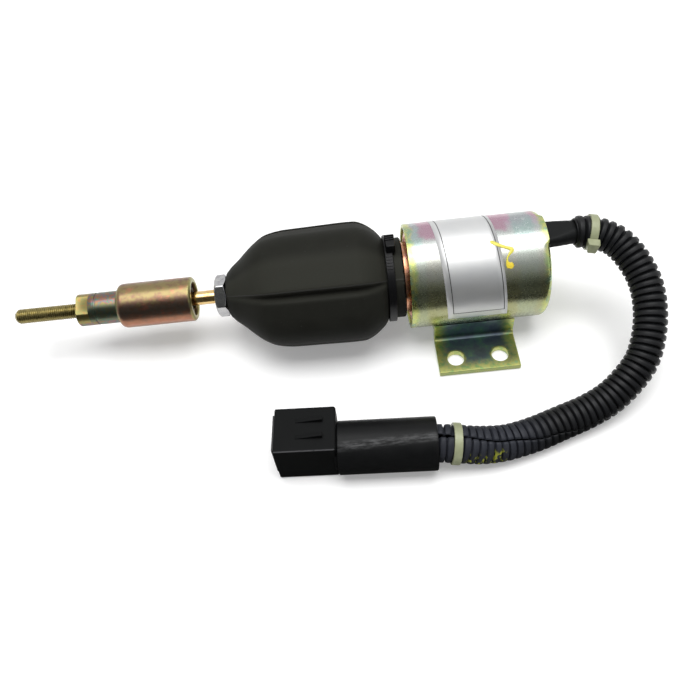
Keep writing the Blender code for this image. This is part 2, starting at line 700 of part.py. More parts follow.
def make_springs():
    """Return spring from the retainer to the front plate, and the link's spring."""
    path = spring_path(RETAINER_BACK + SEAT, PLATE_RECESS - SEAT, RETURN_RADIUS,
                       RETURN_WIRE / 2, RETURN_TURNS)
    wire("return_spring", path, RETURN_WIRE / 2, AXIS, SPRING_STEEL, rings=1)
    path = spring_path(HEAD_BACK + SEAT, WASHER_FRONT - SEAT, LINK_SPRING_RADIUS,
                       LINK_WIRE / 2, LINK_TURNS)
    wire("link_spring", path, LINK_WIRE / 2, AXIS, SPRING_STEEL, rings=1)


def make_link():
    """Turned housing with wrench flats, its stud, and the washer and ring that close it."""
    stud_hole = STUD_RADIUS + SEAT
    stud_floor = STUD_BACK + SEAT
    chamfer = 0.8 * MM
    groove = NECK_FRONT + NECK_GROOVE_PLACE
    groove_radius = LINK_NECK_RADIUS - NECK_GROOVE_DEPTH
    ring_groove = LINK_BORE + RING_GROOVE
    shoulder = arc((LINK_FRONT + LINK_SHOULDER, LINK_RADIUS - LINK_SHOULDER), LINK_SHOULDER,
                   math.pi, math.pi / 2, 4)
    outline = [
        (stud_floor, 0.0), (stud_floor, stud_hole), (NECK_FRONT, stud_hole),
        (NECK_FRONT, LINK_NECK_RADIUS - chamfer / 2), (NECK_FRONT + chamfer / 2, LINK_NECK_RADIUS),
        (groove, LINK_NECK_RADIUS), (groove, groove_radius), (groove + NECK_GROOVE, groove_radius),
        (groove + NECK_GROOVE, LINK_NECK_RADIUS), (LINK_FRONT, LINK_NECK_RADIUS),
    ] + shoulder + [
        (LINK_BACK - chamfer, LINK_RADIUS), (LINK_BACK, LINK_RADIUS - chamfer),
        (LINK_BACK, LINK_BORE), (RING_BACK + SEAT, LINK_BORE), (RING_BACK + SEAT, ring_groove),
        (RING_FRONT - SEAT, ring_groove), (RING_FRONT - SEAT, LINK_BORE),
        (BORE_FLOOR, LINK_BORE), (BORE_FLOOR, 0.0),
    ]
    housing = turned("link_housing", outline, LINK_TRAVEL, PINK_ZINC, steps=30)
    for side in (0, math.pi):
        turn = FLATS_TURN + side
        flat = block("link_flat_cutter", (LINK_RADIUS, 3 * LINK_RADIUS, FLATS_LENGTH + OVERCUT),
                     around(turn, FLATS_WIDTH / 2 + LINK_RADIUS / 2,
                            NECK_FRONT + (FLATS_LENGTH - OVERCUT) / 2),
                     LINK_TRAVEL, rotation=(0, 0, math.pi / 2 + turn))
        combine(housing, flat, "DIFFERENCE")
    tip = 1.2 * MM
    turned("link_stud", [
        (STUD_TIP, 0.0), (STUD_TIP, STUD_RADIUS - tip), (STUD_TIP + tip, STUD_RADIUS),
        (STUD_BACK, STUD_RADIUS), (STUD_BACK, 0.0),
    ], LINK_TRAVEL, OLIVE_ZINC, steps=20)
    turned("link_washer", [
        (WASHER_FRONT, ROD_RADIUS + SEAT), (WASHER_FRONT, LINK_BORE - SEAT),
        (WASHER_BACK, LINK_BORE - SEAT), (WASHER_BACK, ROD_RADIUS + SEAT),
    ], LINK_TRAVEL, BRIGHT_ZINC, steps=28)
    outer = LINK_BORE + RING_GROOVE - SEAT
    inner = outer - 1.4 * MM
    lug = inner - 1.2 * MM
    lug_turn = math.radians(24)
    start = RING_GAP_HALF
    end = 2 * math.pi - RING_GAP_HALF
    ring = arc((0, 0), outer, start, end, 24)
    ring += arc((0, 0), lug, end, end - lug_turn, 2)
    ring += arc((0, 0), inner, end - lug_turn, start + lug_turn, 20)
    ring += arc((0, 0), lug, start + lug_turn, start, 2)
    plate("snap_ring", ring, RING_FRONT, RING_BACK, LINK_TRAVEL, SPRING_STEEL)


def make_lead():
    """Flat sleeve out of the can, conduit down to the plug, and the two ties on it."""
    outline = rounded_box(SLEEVE_HEIGHT, SLEEVE_WIDTH, SLEEVE_CORNER, (-SLEEVE_LIFT, 0.0))
    plate("lead_sleeve", outline, BACK_FACE + SEAT, SLEEVE_END, AXIS, BLACK_PLASTIC, smooth=True)
    stations = [(CAN_FRONT_X + x * MM, y * MM, z * MM) for x, y, z in CONDUIT_ROUTE]
    route = smooth_route(stations, CONDUIT_POINT_COUNT)
    wire("conduit", route, CONDUIT_RADIUS, None, BLACK_PLASTIC, rings=4)
    fine = smooth_route(stations, 400)
    for name, share, head in (("conduit_tie_upper", UPPER_TIE_SHARE, UPPER_TIE_HEAD),
                              ("conduit_tie_lower", LOWER_TIE_SHARE, LOWER_TIE_HEAD)):
        index = round(share * 399)
        ahead = (fine[index + 1] - fine[index - 1]).normalized()
        down = Vector((0, 0, -1))
        across = ahead.cross(down).normalized()
        axes = Matrix((ahead.cross(-across), across, ahead)).transposed().to_4x4()
        seat = make_empty(name + "_seat", None, Matrix.Translation(fine[index]) @ axes)
        cable_tie(name, seat, 0.0, CONDUIT_RADIUS + SEAT, TIE_HEAD, head, NATURAL_NYLON)


def make_plug():
    """Housing with its socket and latch ramps, round sleeve, seal, terminals and wires."""
    middle = (0.0, PLUG_OFFSET, PLUG_HEIGHT / 2 - SLEEVE_RADIUS)
    housing = block("plug_housing", (PLUG_LENGTH, PLUG_WIDTH, PLUG_HEIGHT),
                    (-PLUG_LENGTH / 2, middle[1], middle[2]), PLUG, BLACK_PLASTIC)
    edges = housing.modifiers.new("edges", "BEVEL")
    edges.width = 0.5 * MM
    edges.segments = 2
    spigot = turned("plug_spigot", [
        (-PLUG_WALL, 0.0), (-PLUG_WALL, SPIGOT_RADIUS), (SPIGOT_LENGTH, SPIGOT_RADIUS),
        (SPIGOT_LENGTH, 0.0),
    ], PLUG_AXIS, steps=28)
    combine(housing, spigot, "UNION")
    top = middle[2] + PLUG_HEIGHT / 2
    ramp_back = -RAMP_PLACE
    for side in (-1, 1):
        profile = [(ramp_back - RAMP_LENGTH, -OVERCUT), (ramp_back, -OVERCUT),
                   (ramp_back, RAMP_HEIGHT), (ramp_back - RAMP_LENGTH, 0.2 * MM)]
        ramp = plate("plug_ramp", profile, -RAMP_WIDTH / 2, RAMP_WIDTH / 2, PLUG)
        ramp.location = (0, middle[1] + side * RAMP_PITCH / 2, top)
        ramp.rotation_euler = (math.pi / 2, 0, 0)
        combine(housing, ramp, "UNION")
    socket_width = PLUG_WIDTH - 2 * PLUG_WALL
    socket_height = PLUG_HEIGHT - 2 * PLUG_WALL
    socket = block("plug_socket_cutter", (SOCKET_DEPTH + OVERCUT, socket_width, socket_height),
                   (-PLUG_LENGTH + (SOCKET_DEPTH - OVERCUT) / 2, middle[1], middle[2]), PLUG)
    combine(housing, socket, "DIFFERENCE")
    floor = -PLUG_LENGTH + SOCKET_DEPTH
    for index in range(TERMINALS):
        height = middle[2] + (index - (TERMINALS - 1) / 2) * TERMINAL_PITCH
        make_terminal(index + 1, middle[1], height, floor, housing)
    seal_width = socket_width - 2 * SEAT
    seal_height = socket_height - 2 * SEAT
    seal = block("plug_seal", (SEAL_DEPTH + SEAL_PROUD, seal_width, seal_height),
                 (-PLUG_LENGTH + (SEAL_DEPTH - SEAL_PROUD) / 2, middle[1], middle[2]),
                 PLUG, GREY_PLASTIC)
    hollow = block("plug_seal_cutter",
                   (SEAL_DEPTH * 2 + OVERCUT * 2, seal_width - 2 * SEAL_WALL,
                    seal_height - 2 * SEAL_WALL),
                   (-PLUG_LENGTH, middle[1], middle[2]), PLUG)
    hollow.location.x += SEAL_DEPTH / 2
    combine(seal, hollow, "DIFFERENCE")
    bore = SPIGOT_RADIUS + SEAT
    mouth = CONDUIT_RADIUS + SEAT
    end = SEAT + PLUG_SLEEVE_LENGTH
    lip = 0.8 * MM
    turned("plug_sleeve", [
        (SEAT, bore), (SEAT, SLEEVE_RADIUS), (end - lip, SLEEVE_RADIUS),
        (end, SLEEVE_RADIUS - lip), (end, mouth), (end - MOUTH_DEPTH, mouth),
        (end - MOUTH_DEPTH - (bore - mouth), bore),
    ], PLUG_AXIS, BLACK_PLASTIC, steps=36)


def make_terminal(number, across, height, floor, housing):
    """Male blade with a round barrel in its passage, and the wire crimped behind it."""
    rod_end = SPIGOT_LENGTH - SEAT
    passage = turned("terminal_passage_cutter", [
        (floor - OVERCUT, 0.0), (floor - OVERCUT, BARREL_RADIUS + SEAT),
        (SPIGOT_LENGTH + OVERCUT, BARREL_RADIUS + SEAT), (SPIGOT_LENGTH + OVERCUT, 0.0),
    ], PLUG_AXIS, steps=12)
    passage.location = (-height, across, 0)
    combine(housing, passage, "DIFFERENCE")
    length, thickness, width = BLADE
    name = "plug_terminal_%d" % number
    terminal = block(name, (length, thickness, width), (floor - length / 2 + BARREL_RADIUS,
                                                        across, height), PLUG, TIN)
    barrel = turned(name + "_barrel", [
        (floor, 0.0), (floor, BARREL_RADIUS), (rod_end, BARREL_RADIUS), (rod_end, 0.0),
    ], PLUG_AXIS, steps=12)
    barrel.location = (-height, across, 0)
    combine(terminal, barrel, "UNION")
    start = Vector((rod_end + SEAT, across, height))
    end = Vector((SEAT + PLUG_SLEEVE_LENGTH - MOUTH_DEPTH - SEAT, across * 0.3, height * 0.6))
    bend = (end - start) * 0.35
    level = Vector((1, 0, 0)) * bend.x
    path = smooth_route([start, start + level, end - level, end], 8)
    wire("lead_wire_%d" % number, path, WIRE_RADIUS, PLUG, GREY_PLASTIC)


clear_scene()
PARTS = make_collection("solenoid_assembly")
CUTTERS = make_collection("cutters")
SIDEWAYS = Matrix.Rotation(math.pi / 2, 4, "Y")
AXIS = make_empty("solenoid_axis", None,
                  Matrix.Translation((CAN_FRONT_X, 0, AXIS_HEIGHT)) @ SIDEWAYS)
PLUNGER_TRAVEL = make_empty("plunger_travel", AXIS, Matrix.Identity(4))
LINK_TRAVEL = make_empty("link_travel", PLUNGER_TRAVEL, Matrix.Identity(4))
PLUG = make_empty("plug_seat", None, Matrix.Translation((
    CAN_FRONT_X + PLUG_ORIGIN_ALONG, PLUG_ORIGIN_ACROSS, SLEEVE_RADIUS + PLUG_LIFT))
    @ Matrix.Rotation(PLUG_YAW, 4, "Z"))
PLUG_AXIS = make_empty("plug_axis", PLUG, SIDEWAYS)

make_can()
make_front_plate()
make_coil()
make_bracket()
make_boot()
cable_tie("boot_tie", AXIS, -BOOT_TIE_PLACE, CUFF_RADIUS + SEAT, BOOT_TIE_SIZE, BOOT_TIE_HEAD,
          BLACK_PLASTIC)
make_plunger()
make_springs()
make_link()
make_lead()
make_plug()
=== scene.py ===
"""Looks of the pull-type shut-off solenoid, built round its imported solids.

Sizes are in millimetres and turns in degrees until place() and the other helpers put them in
the frame's metres. "Along" runs from the can's front rim on the solenoid's axis towards the
lead. Turns run round that axis: 0 is the far side, 90 the top and 180 the near side.
"""

import math

import bmesh
import bpy
from mathutils import Matrix, Vector


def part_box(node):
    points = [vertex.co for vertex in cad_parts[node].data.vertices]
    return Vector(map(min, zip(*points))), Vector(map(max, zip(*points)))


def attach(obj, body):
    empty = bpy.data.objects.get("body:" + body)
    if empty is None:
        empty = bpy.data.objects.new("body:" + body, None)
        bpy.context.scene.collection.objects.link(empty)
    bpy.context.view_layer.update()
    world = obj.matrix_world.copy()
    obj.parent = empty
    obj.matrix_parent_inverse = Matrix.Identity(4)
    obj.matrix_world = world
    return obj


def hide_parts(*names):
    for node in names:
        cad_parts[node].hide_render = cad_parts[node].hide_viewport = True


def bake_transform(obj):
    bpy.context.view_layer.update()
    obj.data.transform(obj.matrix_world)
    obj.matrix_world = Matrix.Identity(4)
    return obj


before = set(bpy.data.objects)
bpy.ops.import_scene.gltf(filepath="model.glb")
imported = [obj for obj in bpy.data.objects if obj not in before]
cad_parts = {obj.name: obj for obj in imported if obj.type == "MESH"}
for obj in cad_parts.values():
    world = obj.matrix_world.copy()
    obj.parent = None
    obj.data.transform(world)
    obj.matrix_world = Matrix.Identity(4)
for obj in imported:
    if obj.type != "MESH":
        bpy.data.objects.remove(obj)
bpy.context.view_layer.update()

MM = 0.001
RIM_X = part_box("can")[0].x
AXIS_Z = (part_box("can")[0].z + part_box("can")[1].z) / 2

# Can and what is on it
CAN_RADIUS = 22.2
CAN_WALL = 1.4
CAN_LENGTH = 57.0
CAN_CORNER = 3.0
LIP_CORNER = 0.4
WINDOW_HALF = 6.7
WINDOW_FOOT = 13.6
WINDOW_FRONT = 50.1
LABEL_FRONT = 12.2
LABEL_BACK = 36.6
LABEL_LEAN = 0.030
LABEL_LEAN_TURN = 100
LABEL_LOW = 191.5
LABEL_HIGH = 8
LABEL_THICKNESS = 0.12
FRAME_LINE = 0.35
FRAME_IN_FRONT = 2.2
FRAME_IN_BACK = 1.1
FRAME_IN_TURN = 9.5

# Boot
BOOT_FRONT = -76.1
BOOT_BACK = -1.5
BOOT_STILL_FROM = -14.0
BOOT_MOVED_FROM = -74.0
BOOT_WALL = 1.8
BOOT_HOLE = 6.3
BOOT_NOSE = 9.3
CUFF_RADIUS = 17.0
CUFF_DEPTH = 9.0
LOBE_TIP = 26.3
LOBE_OFFSET = 8.0
LOBE_PITCH = 90
LOBE_ROUND = 17.8
FLANK_LEAN = 30
GROOVE_DEPTH = 3.6
GROOVE_WIDTH = 3.3
GROOVE_SHIFT = 3.8
SEAM_TURN = 134.3
SEAM_HALF = 1.3
SEAM_HEIGHT = 0.32
# Half width of the seam's paler line, and where the painted light above it begins and how softly
SEAM_LINE = 0.45
PAINTED_LIGHT_TURN = 110
PAINTED_LIGHT_SOFT = 14
# Black tie on the boot's cuff
TIE_ALONG = -7.2
TIE_LIFT = 0.3
TIE_HEAD_ALONG = -6.3
TIE_HEAD_TURN = 85
TIE_HEAD_SIZE = (4.4, 8.2, 3.8)
TIE_HEAD_LIFT = 2.5
TIE_STUB_SIZE = (2.2, 1.4, 1.4)
TIE_STUB_REACH = 4.5
TIE_STUB_LIFT = 2.4
TIE_TEETH = 5
TIE_TEETH_START = 103
TIE_TEETH_PITCH = 4.2
TIE_TOOTH_SIZE = (2.4, 0.6, 0.4)

# Shaft parts
NUT_FRONT = -81.4
NUT_BACK = -76.4
NUT_FLATS = 15.9
NUT_TURN = 44
ROD_RADIUS = 3.0
ROD_FRONT = -120.1
ROD_BACK = -62.6
LINK_FRONT = -123.3
LINK_BACK = -91.2
LINK_RADIUS = 9.525
LINK_BORE = 7.2
LINK_FLOOR = -120.4
RING_GROOVE = (-94.0, -92.4)
RING_GROOVE_RADIUS = 8.0
STUD_SEAT = -127.2
NECK_FRONT = -141.2
NECK_RADIUS = 6.9
NECK_GROOVE = -133.2
FLATS_WIDTH = 11.0
FLATS_LENGTH = 5.4
FLATS_TURN = 109
STUD_TIP = -169.0
STUD_BACK = -127.5
STUD_RADIUS = 3.175
THREAD_PITCH = 0.907
THREAD_DEPTH = 0.5
# Springs: front end, back end, radius of the coil, wire and turns
RETURN_SPRING = (-60.5, 1.2, 12.2, 1.7, 9)
LINK_SPRING = (-113.8, -95.5, 5.2, 1.3, 6)

# Base bracket
SHEET = 2.5
BRACKET_FRONT = 10.2
BRACKET_BACK = 44.8
BRACKET_HALF = 35.4
LEG_HALF = 17.3
BEND_RADIUS = 2.0
HOLE_RADIUS = 3.57
HOLE_ALONG = (17.975, 37.025)
HOLE_ACROSS = 28.575

# Lead: where its conduit runs, as in the part's source, along and across from the can's front
# rim on its axis, and height above the mounting plane
CONDUIT_ROUTE = (
    (66.5, 0.0, 43.1), (71.5, -0.3, 43.1), (78.0, -2.4, 42.4), (84.0, -7.6, 40.6),
    (88.6, -14.6, 37.6), (91.6, -23.0, 33.6), (92.6, -32.0, 28.8), (91.6, -41.0, 23.4),
    (88.0, -49.4, 18.0), (82.0, -56.4, 13.4), (74.0, -61.6, 9.8), (64.5, -65.4, 7.6),
    (53.5, -68.4, 6.8), (41.5, -70.9, 6.7), (30.0, -72.9, 7.2), (20.0, -73.6, 8.6),
    (11.0, -73.1, 10.1), (3.0, -72.6, 10.6), (-6.0, -72.1, 10.6),
)
# How far the bent conduit lies off that route at each of its points, along and across
CONDUIT_SWAY = (
    (-0.1, -0.3), (0.0, -0.1), (0.4, 0.7), (1.5, 1.5), (1.7, 1.1), (1.7, 0.6), (0.9, 0.1),
    (-0.1, 0.0), (-0.5, 0.3), (-1.0, 1.3), (-0.6, 1.7), (-0.3, 1.8), (-0.1, 1.4), (0.0, 0.0),
    (0.0, -0.6), (0.0, -0.6), (0.0, -0.4), (0.0, 0.0), (0.0, 0.0),
)
# Its size across by share of its length: it flattens in the bend and its slit opens at the plug
CONDUIT_GIRTH = ((0.0, 0.90), (0.32, 0.90), (0.5, 0.93), (0.76, 0.97), (0.86, 1.04),
                 (0.93, 1.04), (0.98, 1.0))
# Where along the route the corrugated part begins, and how finely it is made
CONDUIT_START = 2.0
ROUTE_STEPS = 1200
RIB_STEPS = 9
CONDUIT_STEPS = 40
CONDUIT_RADIUS = 6.6
CONDUIT_ROOT = 5.35
CONDUIT_WALL = 0.6
RIB_PITCH = 2.9
SLIT_HALF = 4.0
LOOM_WIRE_RADIUS = 1.5
LOOM_PITCH = 1.9
LOOM_TWIST = 60
# Side on which the conduit's slit shows, by share of its length, from the side that faces up
# and forward
SLIT_TURNS = ((0.0, -125), (0.3, -120), (0.42, -100), (0.5, -80), (0.6, -45), (0.7, -15),
              (0.8, 14), (0.9, 30), (1.0, 33))
UPPER_TIE_SHARE = 0.088
LOWER_TIE_SHARE = 0.893
UPPER_TIE_HEAD = 177
LOWER_TIE_HEAD = 212
NYLON_HEAD_SIZE = (5.2, 5.2, 3.6)
NYLON_HEAD_LIFT = 2.4
NYLON_LIFT = 0.15
TIE_WIDTH = 3.2
TIE_BAND = 1.2
SLEEVE_LIFT = 16.8

# Plug
PLUG_PLACE = (-35.2, -70.4, 10.6)
PLUG_YAW = -3.3
PLUG_LENGTH = 23.8
PLUG_WIDTH = 19.2
PLUG_HEIGHT = 21.5
PLUG_OFFSET = 3.0
PLUG_MIDDLE = 0.25
PLUG_WALL = 1.7
SOCKET_DEPTH = 17.0
SPIGOT_RADIUS = 8.4
SPIGOT_LENGTH = 8.5
SLEEVE_RADIUS = 10.5
SLEEVE_END = 38.5
MOUTH_RADIUS = 6.9
MOUTH_DEPTH = 9.5
RAMP_LENGTH = 10.4
RAMP_WIDTH = 1.7
RAMP_HEIGHT = 1.9
RAMP_PITCH = 7.0
RAMP_PLACE = 5.0

# Camera, fitted to the photograph
CAMERA_PLACE = (0.03329, -0.20469, 0.26125)
CAMERA_YAW = -1.95
CAMERA_PITCH = 53.8
CAMERA_ROLL = -7.43
CAMERA_LENS = 37.75

# Lamps: place and size in metres, power in watts
KEY_SPOT = (0.05, -0.04, 1.25)
KEY_SIZE = (1.1, 0.7)
KEY_POWER = 17.5
SOFTBOX_SPOT = (0.05, 0.09, 1.2)
SOFTBOX_SIZE = (1.3, 0.8)
SOFTBOX_TURN = 14
SOFTBOX_POWER = 12.0
# Strength of the white room for diffuse light, where gloss sees it at full strength
ROOM_LIGHT = 0.30
# Stage, in metres
FLOOR_GLOW = 0.24
FLOOR_HALF = 3.0
FLOOR_LEVEL = -0.2 * MM
CARD_HALF = 2.2
CARD_FAR = -1.5


def smoothstep(low, high, value):
    """0 below low, 1 above high, and a soft step between."""
    share = min(max((value - low) / (high - low), 0.0), 1.0)
    return share * share * (3 - 2 * share)


def between(stations, spot):
    """The other numbers of (spot, ...) stations, eased between the two beside a spot."""
    if spot <= stations[0][0]:
        return stations[0][1:]
    for first, second in zip(stations, stations[1:]):
        if spot <= second[0]:
            share = smoothstep(first[0], second[0], spot)
            return tuple(a + (b - a) * share for a, b in zip(first[1:], second[1:]))
    return stations[-1][1:]


def place(along, radius, turn):
    """A point round the solenoid's axis, in the frame."""
    turn = math.radians(turn)
    return Vector((RIM_X + along * MM, radius * MM * math.cos(turn),
                   AXIS_Z + radius * MM * math.sin(turn)))


class Shade:
    """A shader socket in an expression: each operator adds the Math node that does it."""

    def __init__(self, nodes, socket):
        self.nodes = nodes
        self.socket = socket

    def math(self, operation, first, second=0.0):
        return self.nodes.node("Math", {0: first, 1: second}, operation=operation)

    def __add__(self, other):
        return self.math("ADD", self, other)

    __radd__ = __add__

    def __mul__(self, other):
        return self.math("MULTIPLY", self, other)

    __rmul__ = __mul__

    def __sub__(self, other):
        return self.math("SUBTRACT", self, other)

    def __rsub__(self, other):
        return self.math("SUBTRACT", other, self)

    def __truediv__(self, other):
        return self.math("DIVIDE", self, other)

    def __rtruediv__(self, other):
        return self.math("DIVIDE", other, self)

    def __pow__(self, other):
        return self.math("POWER", self, other)

    def __abs__(self):
        return self.math("ABSOLUTE", self)


class Nodes:
    """A node tree, of a material or of the world, to which node() adds every node."""

    def __init__(self, tree):
        self.tree = tree

    def node(self, kind, inputs=(), output=0, stops=(), **settings):
        """One node: its settings and ramp stops first, then its sockets' values or links."""
        made = self.tree.nodes.new("ShaderNode" + kind)
        for setting, value in settings.items():
            setattr(made, setting, value)
        for index, (position, colour) in enumerate(stops):
            elements = made.color_ramp.elements
            element = elements[index] if index < len(elements) else elements.new(position)
            element.position = position
            element.color = (*colour, 1.0)
        for socket, value in dict(inputs).items():
            self.put(made.inputs[socket], value)
        return Shade(self, made.outputs[output])

    def put(self, socket, value):
        """Give a socket its value, or link another node's result to it."""
        if isinstance(value, Shade):
            self.tree.links.new(value.socket, socket)
        elif isinstance(value, tuple) and socket.type == "RGBA":
            socket.default_value = (*value, 1.0)
        else:
            socket.default_value = value


class Finish(Nodes):
    """A material on the Principled shader, with helpers for its procedural detail."""

    def __init__(self, name, colour=(0.5, 0.5, 0.5), roughness=0.5, metallic=0.0, **constants):
        self.material = bpy.data.materials.new(name)
        self.material.use_nodes = True
        super().__init__(self.material.node_tree)
        self.shader = self.tree.nodes["Principled BSDF"]
        self.set("Base Color", colour)
        self.set("Roughness", roughness)
        self.set("Metallic", metallic)
        for socket, value in constants.items():
            self.set(socket.replace("_", " "), value)
        self.spot = self.node("TexCoord", output="Object")
        split = self.node("SeparateXYZ", {0: self.spot}, output="X")
        outputs = split.socket.node.outputs
        self.along = (Shade(self, outputs["X"]) - RIM_X) / MM
        self.across = Shade(self, outputs["Y"]) / MM
        self.height = (Shade(self, outputs["Z"]) - AXIS_Z) / MM

    def set(self, socket, value):
        self.put(self.shader.inputs[socket], value)

    def stretched(self, scales):
        """The object's own place, stretched along its axes."""
        return self.node("VectorMath", {0: self.spot, 1: scales}, operation="MULTIPLY")

    def noise(self, size, detail=2.0, rough=0.5, spot=None, distortion=0.0):
        """Soft noise from 0 to 1 with features about size millimetres wide."""
        return self.node("TexNoise", {
            "Vector": spot or self.spot, "Scale": 1 / (size * MM), "Detail": detail,
            "Roughness": rough, "Distortion": distortion})

    def step(self, value, low, high):
        """0 where the value is below low and 1 above high, with a soft step between."""
        return self.node("MapRange", {"Value": value, "From Min": low, "From Max": high},
                         interpolation_type="SMOOTHSTEP")

    def band(self, value, low, high, soft):
        """1 between low and high and 0 outside, with soft edges."""
        return self.step(value, low - soft, low) * (1 - self.step(value, high, high + soft))

    def blend(self, share, first, second, kind="MIX"):
        """A colour between two colours."""
        return self.node("Mix", {0: share, 6: first, 7: second}, output=2, data_type="RGBA",
                         blend_type=kind)

    def ramp(self, value, stops):
        """A colour read from a row of stops."""
        return self.node("ValToRGB", {0: value}, stops=stops)

    def bump(self, height, strength, distance):
        """Relief of a given depth in millimetres."""
        self.set("Normal", self.node("Bump", {
            "Height": height, "Strength": strength, "Distance": distance * MM}))


def mesh_piece(name, verts, faces, finish):
    """A smooth-shaded piece from points and faces, turned to face outward."""
    bm = bmesh.new()
    made = [bm.verts.new(point) for point in verts]
    for face in faces:
        bm.faces.new([made[i] for i in face])
    bmesh.ops.recalc_face_normals(bm, faces=bm.faces)
    return finish_mesh(name, bm, finish)


def finish_mesh(name, bm, finish):
    """A smooth-shaded object from a bmesh, with its finish."""
    mesh = bpy.data.meshes.new(name)
    bm.to_mesh(mesh)
    bm.free()
    mesh.shade_smooth()
    mesh.materials.append(finish.material)
    piece = bpy.data.objects.new(name, mesh)
    bpy.context.scene.collection.objects.link(piece)
    return piece


def loft(name, rings, finish, wrap=False):
    """A skin over closed rings of points; a ring of one point closes the skin to a tip."""
    verts = []
    starts = []
    for ring in rings:
        starts.append(len(verts))
        verts += ring
    pairs = [(i, i + 1) for i in range(len(rings) - 1)]
    if wrap:
        pairs.append((len(rings) - 1, 0))
    faces = []
    for one, other in pairs:
        a, b = starts[one], starts[other]
        count = max(len(rings[one]), len(rings[other]))
        for i in range(count):
            j = (i + 1) % count
            if len(rings[one]) == 1:
                faces.append((a, b + j, b + i))
            elif len(rings[other]) == 1:
                faces.append((a + i, a + j, b))
            else:
                faces.append((a + i, a + j, b + j, b + i))
    return mesh_piece(name, verts, faces, finish)


def ring_about(centre, front, side, radius, steps):
    """Points about a centre at a radius in millimetres, from its front way to its side way."""
    turns = [2 * math.pi * step / steps for step in range(steps)]
    return [centre + (front * math.cos(turn) + side * math.sin(turn)) * radius * MM
            for turn in turns]


def capped(rings):
    """The rings with a point in the middle of the first and of the last, to close a skin."""
    first, last = ([sum(ring, Vector()) / len(ring)] for ring in (rings[0], rings[-1]))
    return [first] + rings + [last]


def turned(side, up, turn):
    """The way out at a turn from side towards up, and the way round at that turn."""
    turn = math.radians(turn)
    out = side * math.cos(turn) + up * math.sin(turn)
    return out, up * math.cos(turn) - side * math.sin(turn)


def soften(outline, size, closed=True, steps=3):
    """Round each corner of an outline; a third number in a point is its own rounding."""
    points = []
    count = len(outline)
    for index, point in enumerate(outline):
        here = Vector(point[:2])
        width = point[2] if len(point) > 2 else size
        if width == 0 or (not closed and index in (0, count - 1)):
            points.append(tuple(here))
            continue
        before = Vector(outline[index - 1][:2]) - here
        after = Vector(outline[(index + 1) % count][:2]) - here
        first = here + before.normalized() * min(width, before.length * 0.45)
        last = here + after.normalized() * min(width, after.length * 0.45)
        for step in range(steps + 1):
            t = step / steps
            spot = first * (1 - t) ** 2 + here * 2 * t * (1 - t) + last * t ** 2
            points.append(tuple(spot))
    return points


def crisp(piece):
    """Normals weighted by face size, so that narrow roundings shade like real ones."""
    step = piece.modifiers.new("even_shading", "WEIGHTED_NORMAL")
    step.mode = "FACE_AREA"
    step.keep_sharp = True
    step.weight = 80
    return piece


def lathe(name, outline, finish, steps=96, wrap=False, limit=None):
    """Turn (along, radius) points about the solenoid's axis, under an optional limit."""
    rings = []
    for along, radius in outline:
        if radius == 0:
            rings.append([place(along, 0, 0)])
            continue
        ring = []
        for i in range(steps):
            turn = 360 * i / steps
            reach = min(radius, limit(along, turn)) if limit else radius
            ring.append(place(along, reach, turn))
        rings.append(ring)
    return crisp(loft(name, rings, finish, wrap))


def cut(piece, cutter, operation="DIFFERENCE"):
    """Apply a Boolean step and remove its cutter."""
    step = piece.modifiers.new("cut", "BOOLEAN")
    step.operation = operation
    step.object = cutter
    step.solver = "EXACT"
    bpy.context.view_layer.update()
    graph = bpy.context.evaluated_depsgraph_get()
    mesh = bpy.data.meshes.new_from_object(piece.evaluated_get(graph))
    piece.modifiers.remove(step)
    piece.data = mesh
    bpy.data.objects.remove(cutter)


def round_edges(piece, width, steps=3, angle=35):
    """Round the edges that turn by more than an angle, by a width in millimetres."""
    bevel = piece.modifiers.new("rounding", "BEVEL")
    bevel.width = width * MM
    bevel.segments = steps
    bevel.limit_method = "ANGLE"
    bevel.angle_limit = math.radians(angle)
    bevel.harden_normals = False
    return crisp(piece)


def dress(piece, body, *nodes):
    """The piece rides on a body and stands for CAD nodes, which it hides."""
    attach(piece, body)
    if nodes:
        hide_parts(*nodes)
    return piece


def rounded_box(width, height, corner, centre=(0.0, 0.0), steps=6):
    """Outline of a rectangle with round corners."""
    points = []
    for index, (sx, sy) in enumerate(((1, 1), (-1, 1), (-1, -1), (1, -1))):
        middle = (centre[0] + sx * (width / 2 - corner), centre[1] + sy * (height / 2 - corner))
        for step in range(steps + 1):
            turn = (index + step / steps) * math.pi / 2
            points.append((middle[0] + corner * math.cos(turn),
                           middle[1] + corner * math.sin(turn)))
    return points


def solid_box(name, centre, size, finish, turn=None):
    """A box about a centre, with its axes turned by a matrix when given."""
    bm = bmesh.new()
    bmesh.ops.create_cube(bm, size=MM, matrix=Matrix.Diagonal((*size, 1.0)))
    if turn is not None:
        bmesh.ops.transform(bm, matrix=turn, verts=bm.verts)
    bmesh.ops.translate(bm, vec=centre, verts=bm.verts)
    return finish_mesh(name, bm, finish)


def smooth_route(stations, count):
    """Evenly numbered places on a Catmull-Rom curve through the stations."""
    knots = [Vector(s) for s in stations]
    knots = [2 * knots[0] - knots[1]] + knots + [2 * knots[-1] - knots[-2]]
    places = []
    for index in range(count):
        position = index / (count - 1) * (len(stations) - 1)
        span = min(int(position), len(stations) - 2)
        t = position - span
        a, b, c, d = knots[span:span + 4]
        places.append(0.5 * (2 * b + (c - a) * t + (2 * a - 5 * b + 4 * c - d) * t ** 2
                             + (3 * b - a - 3 * c + d) * t ** 3))
    return places


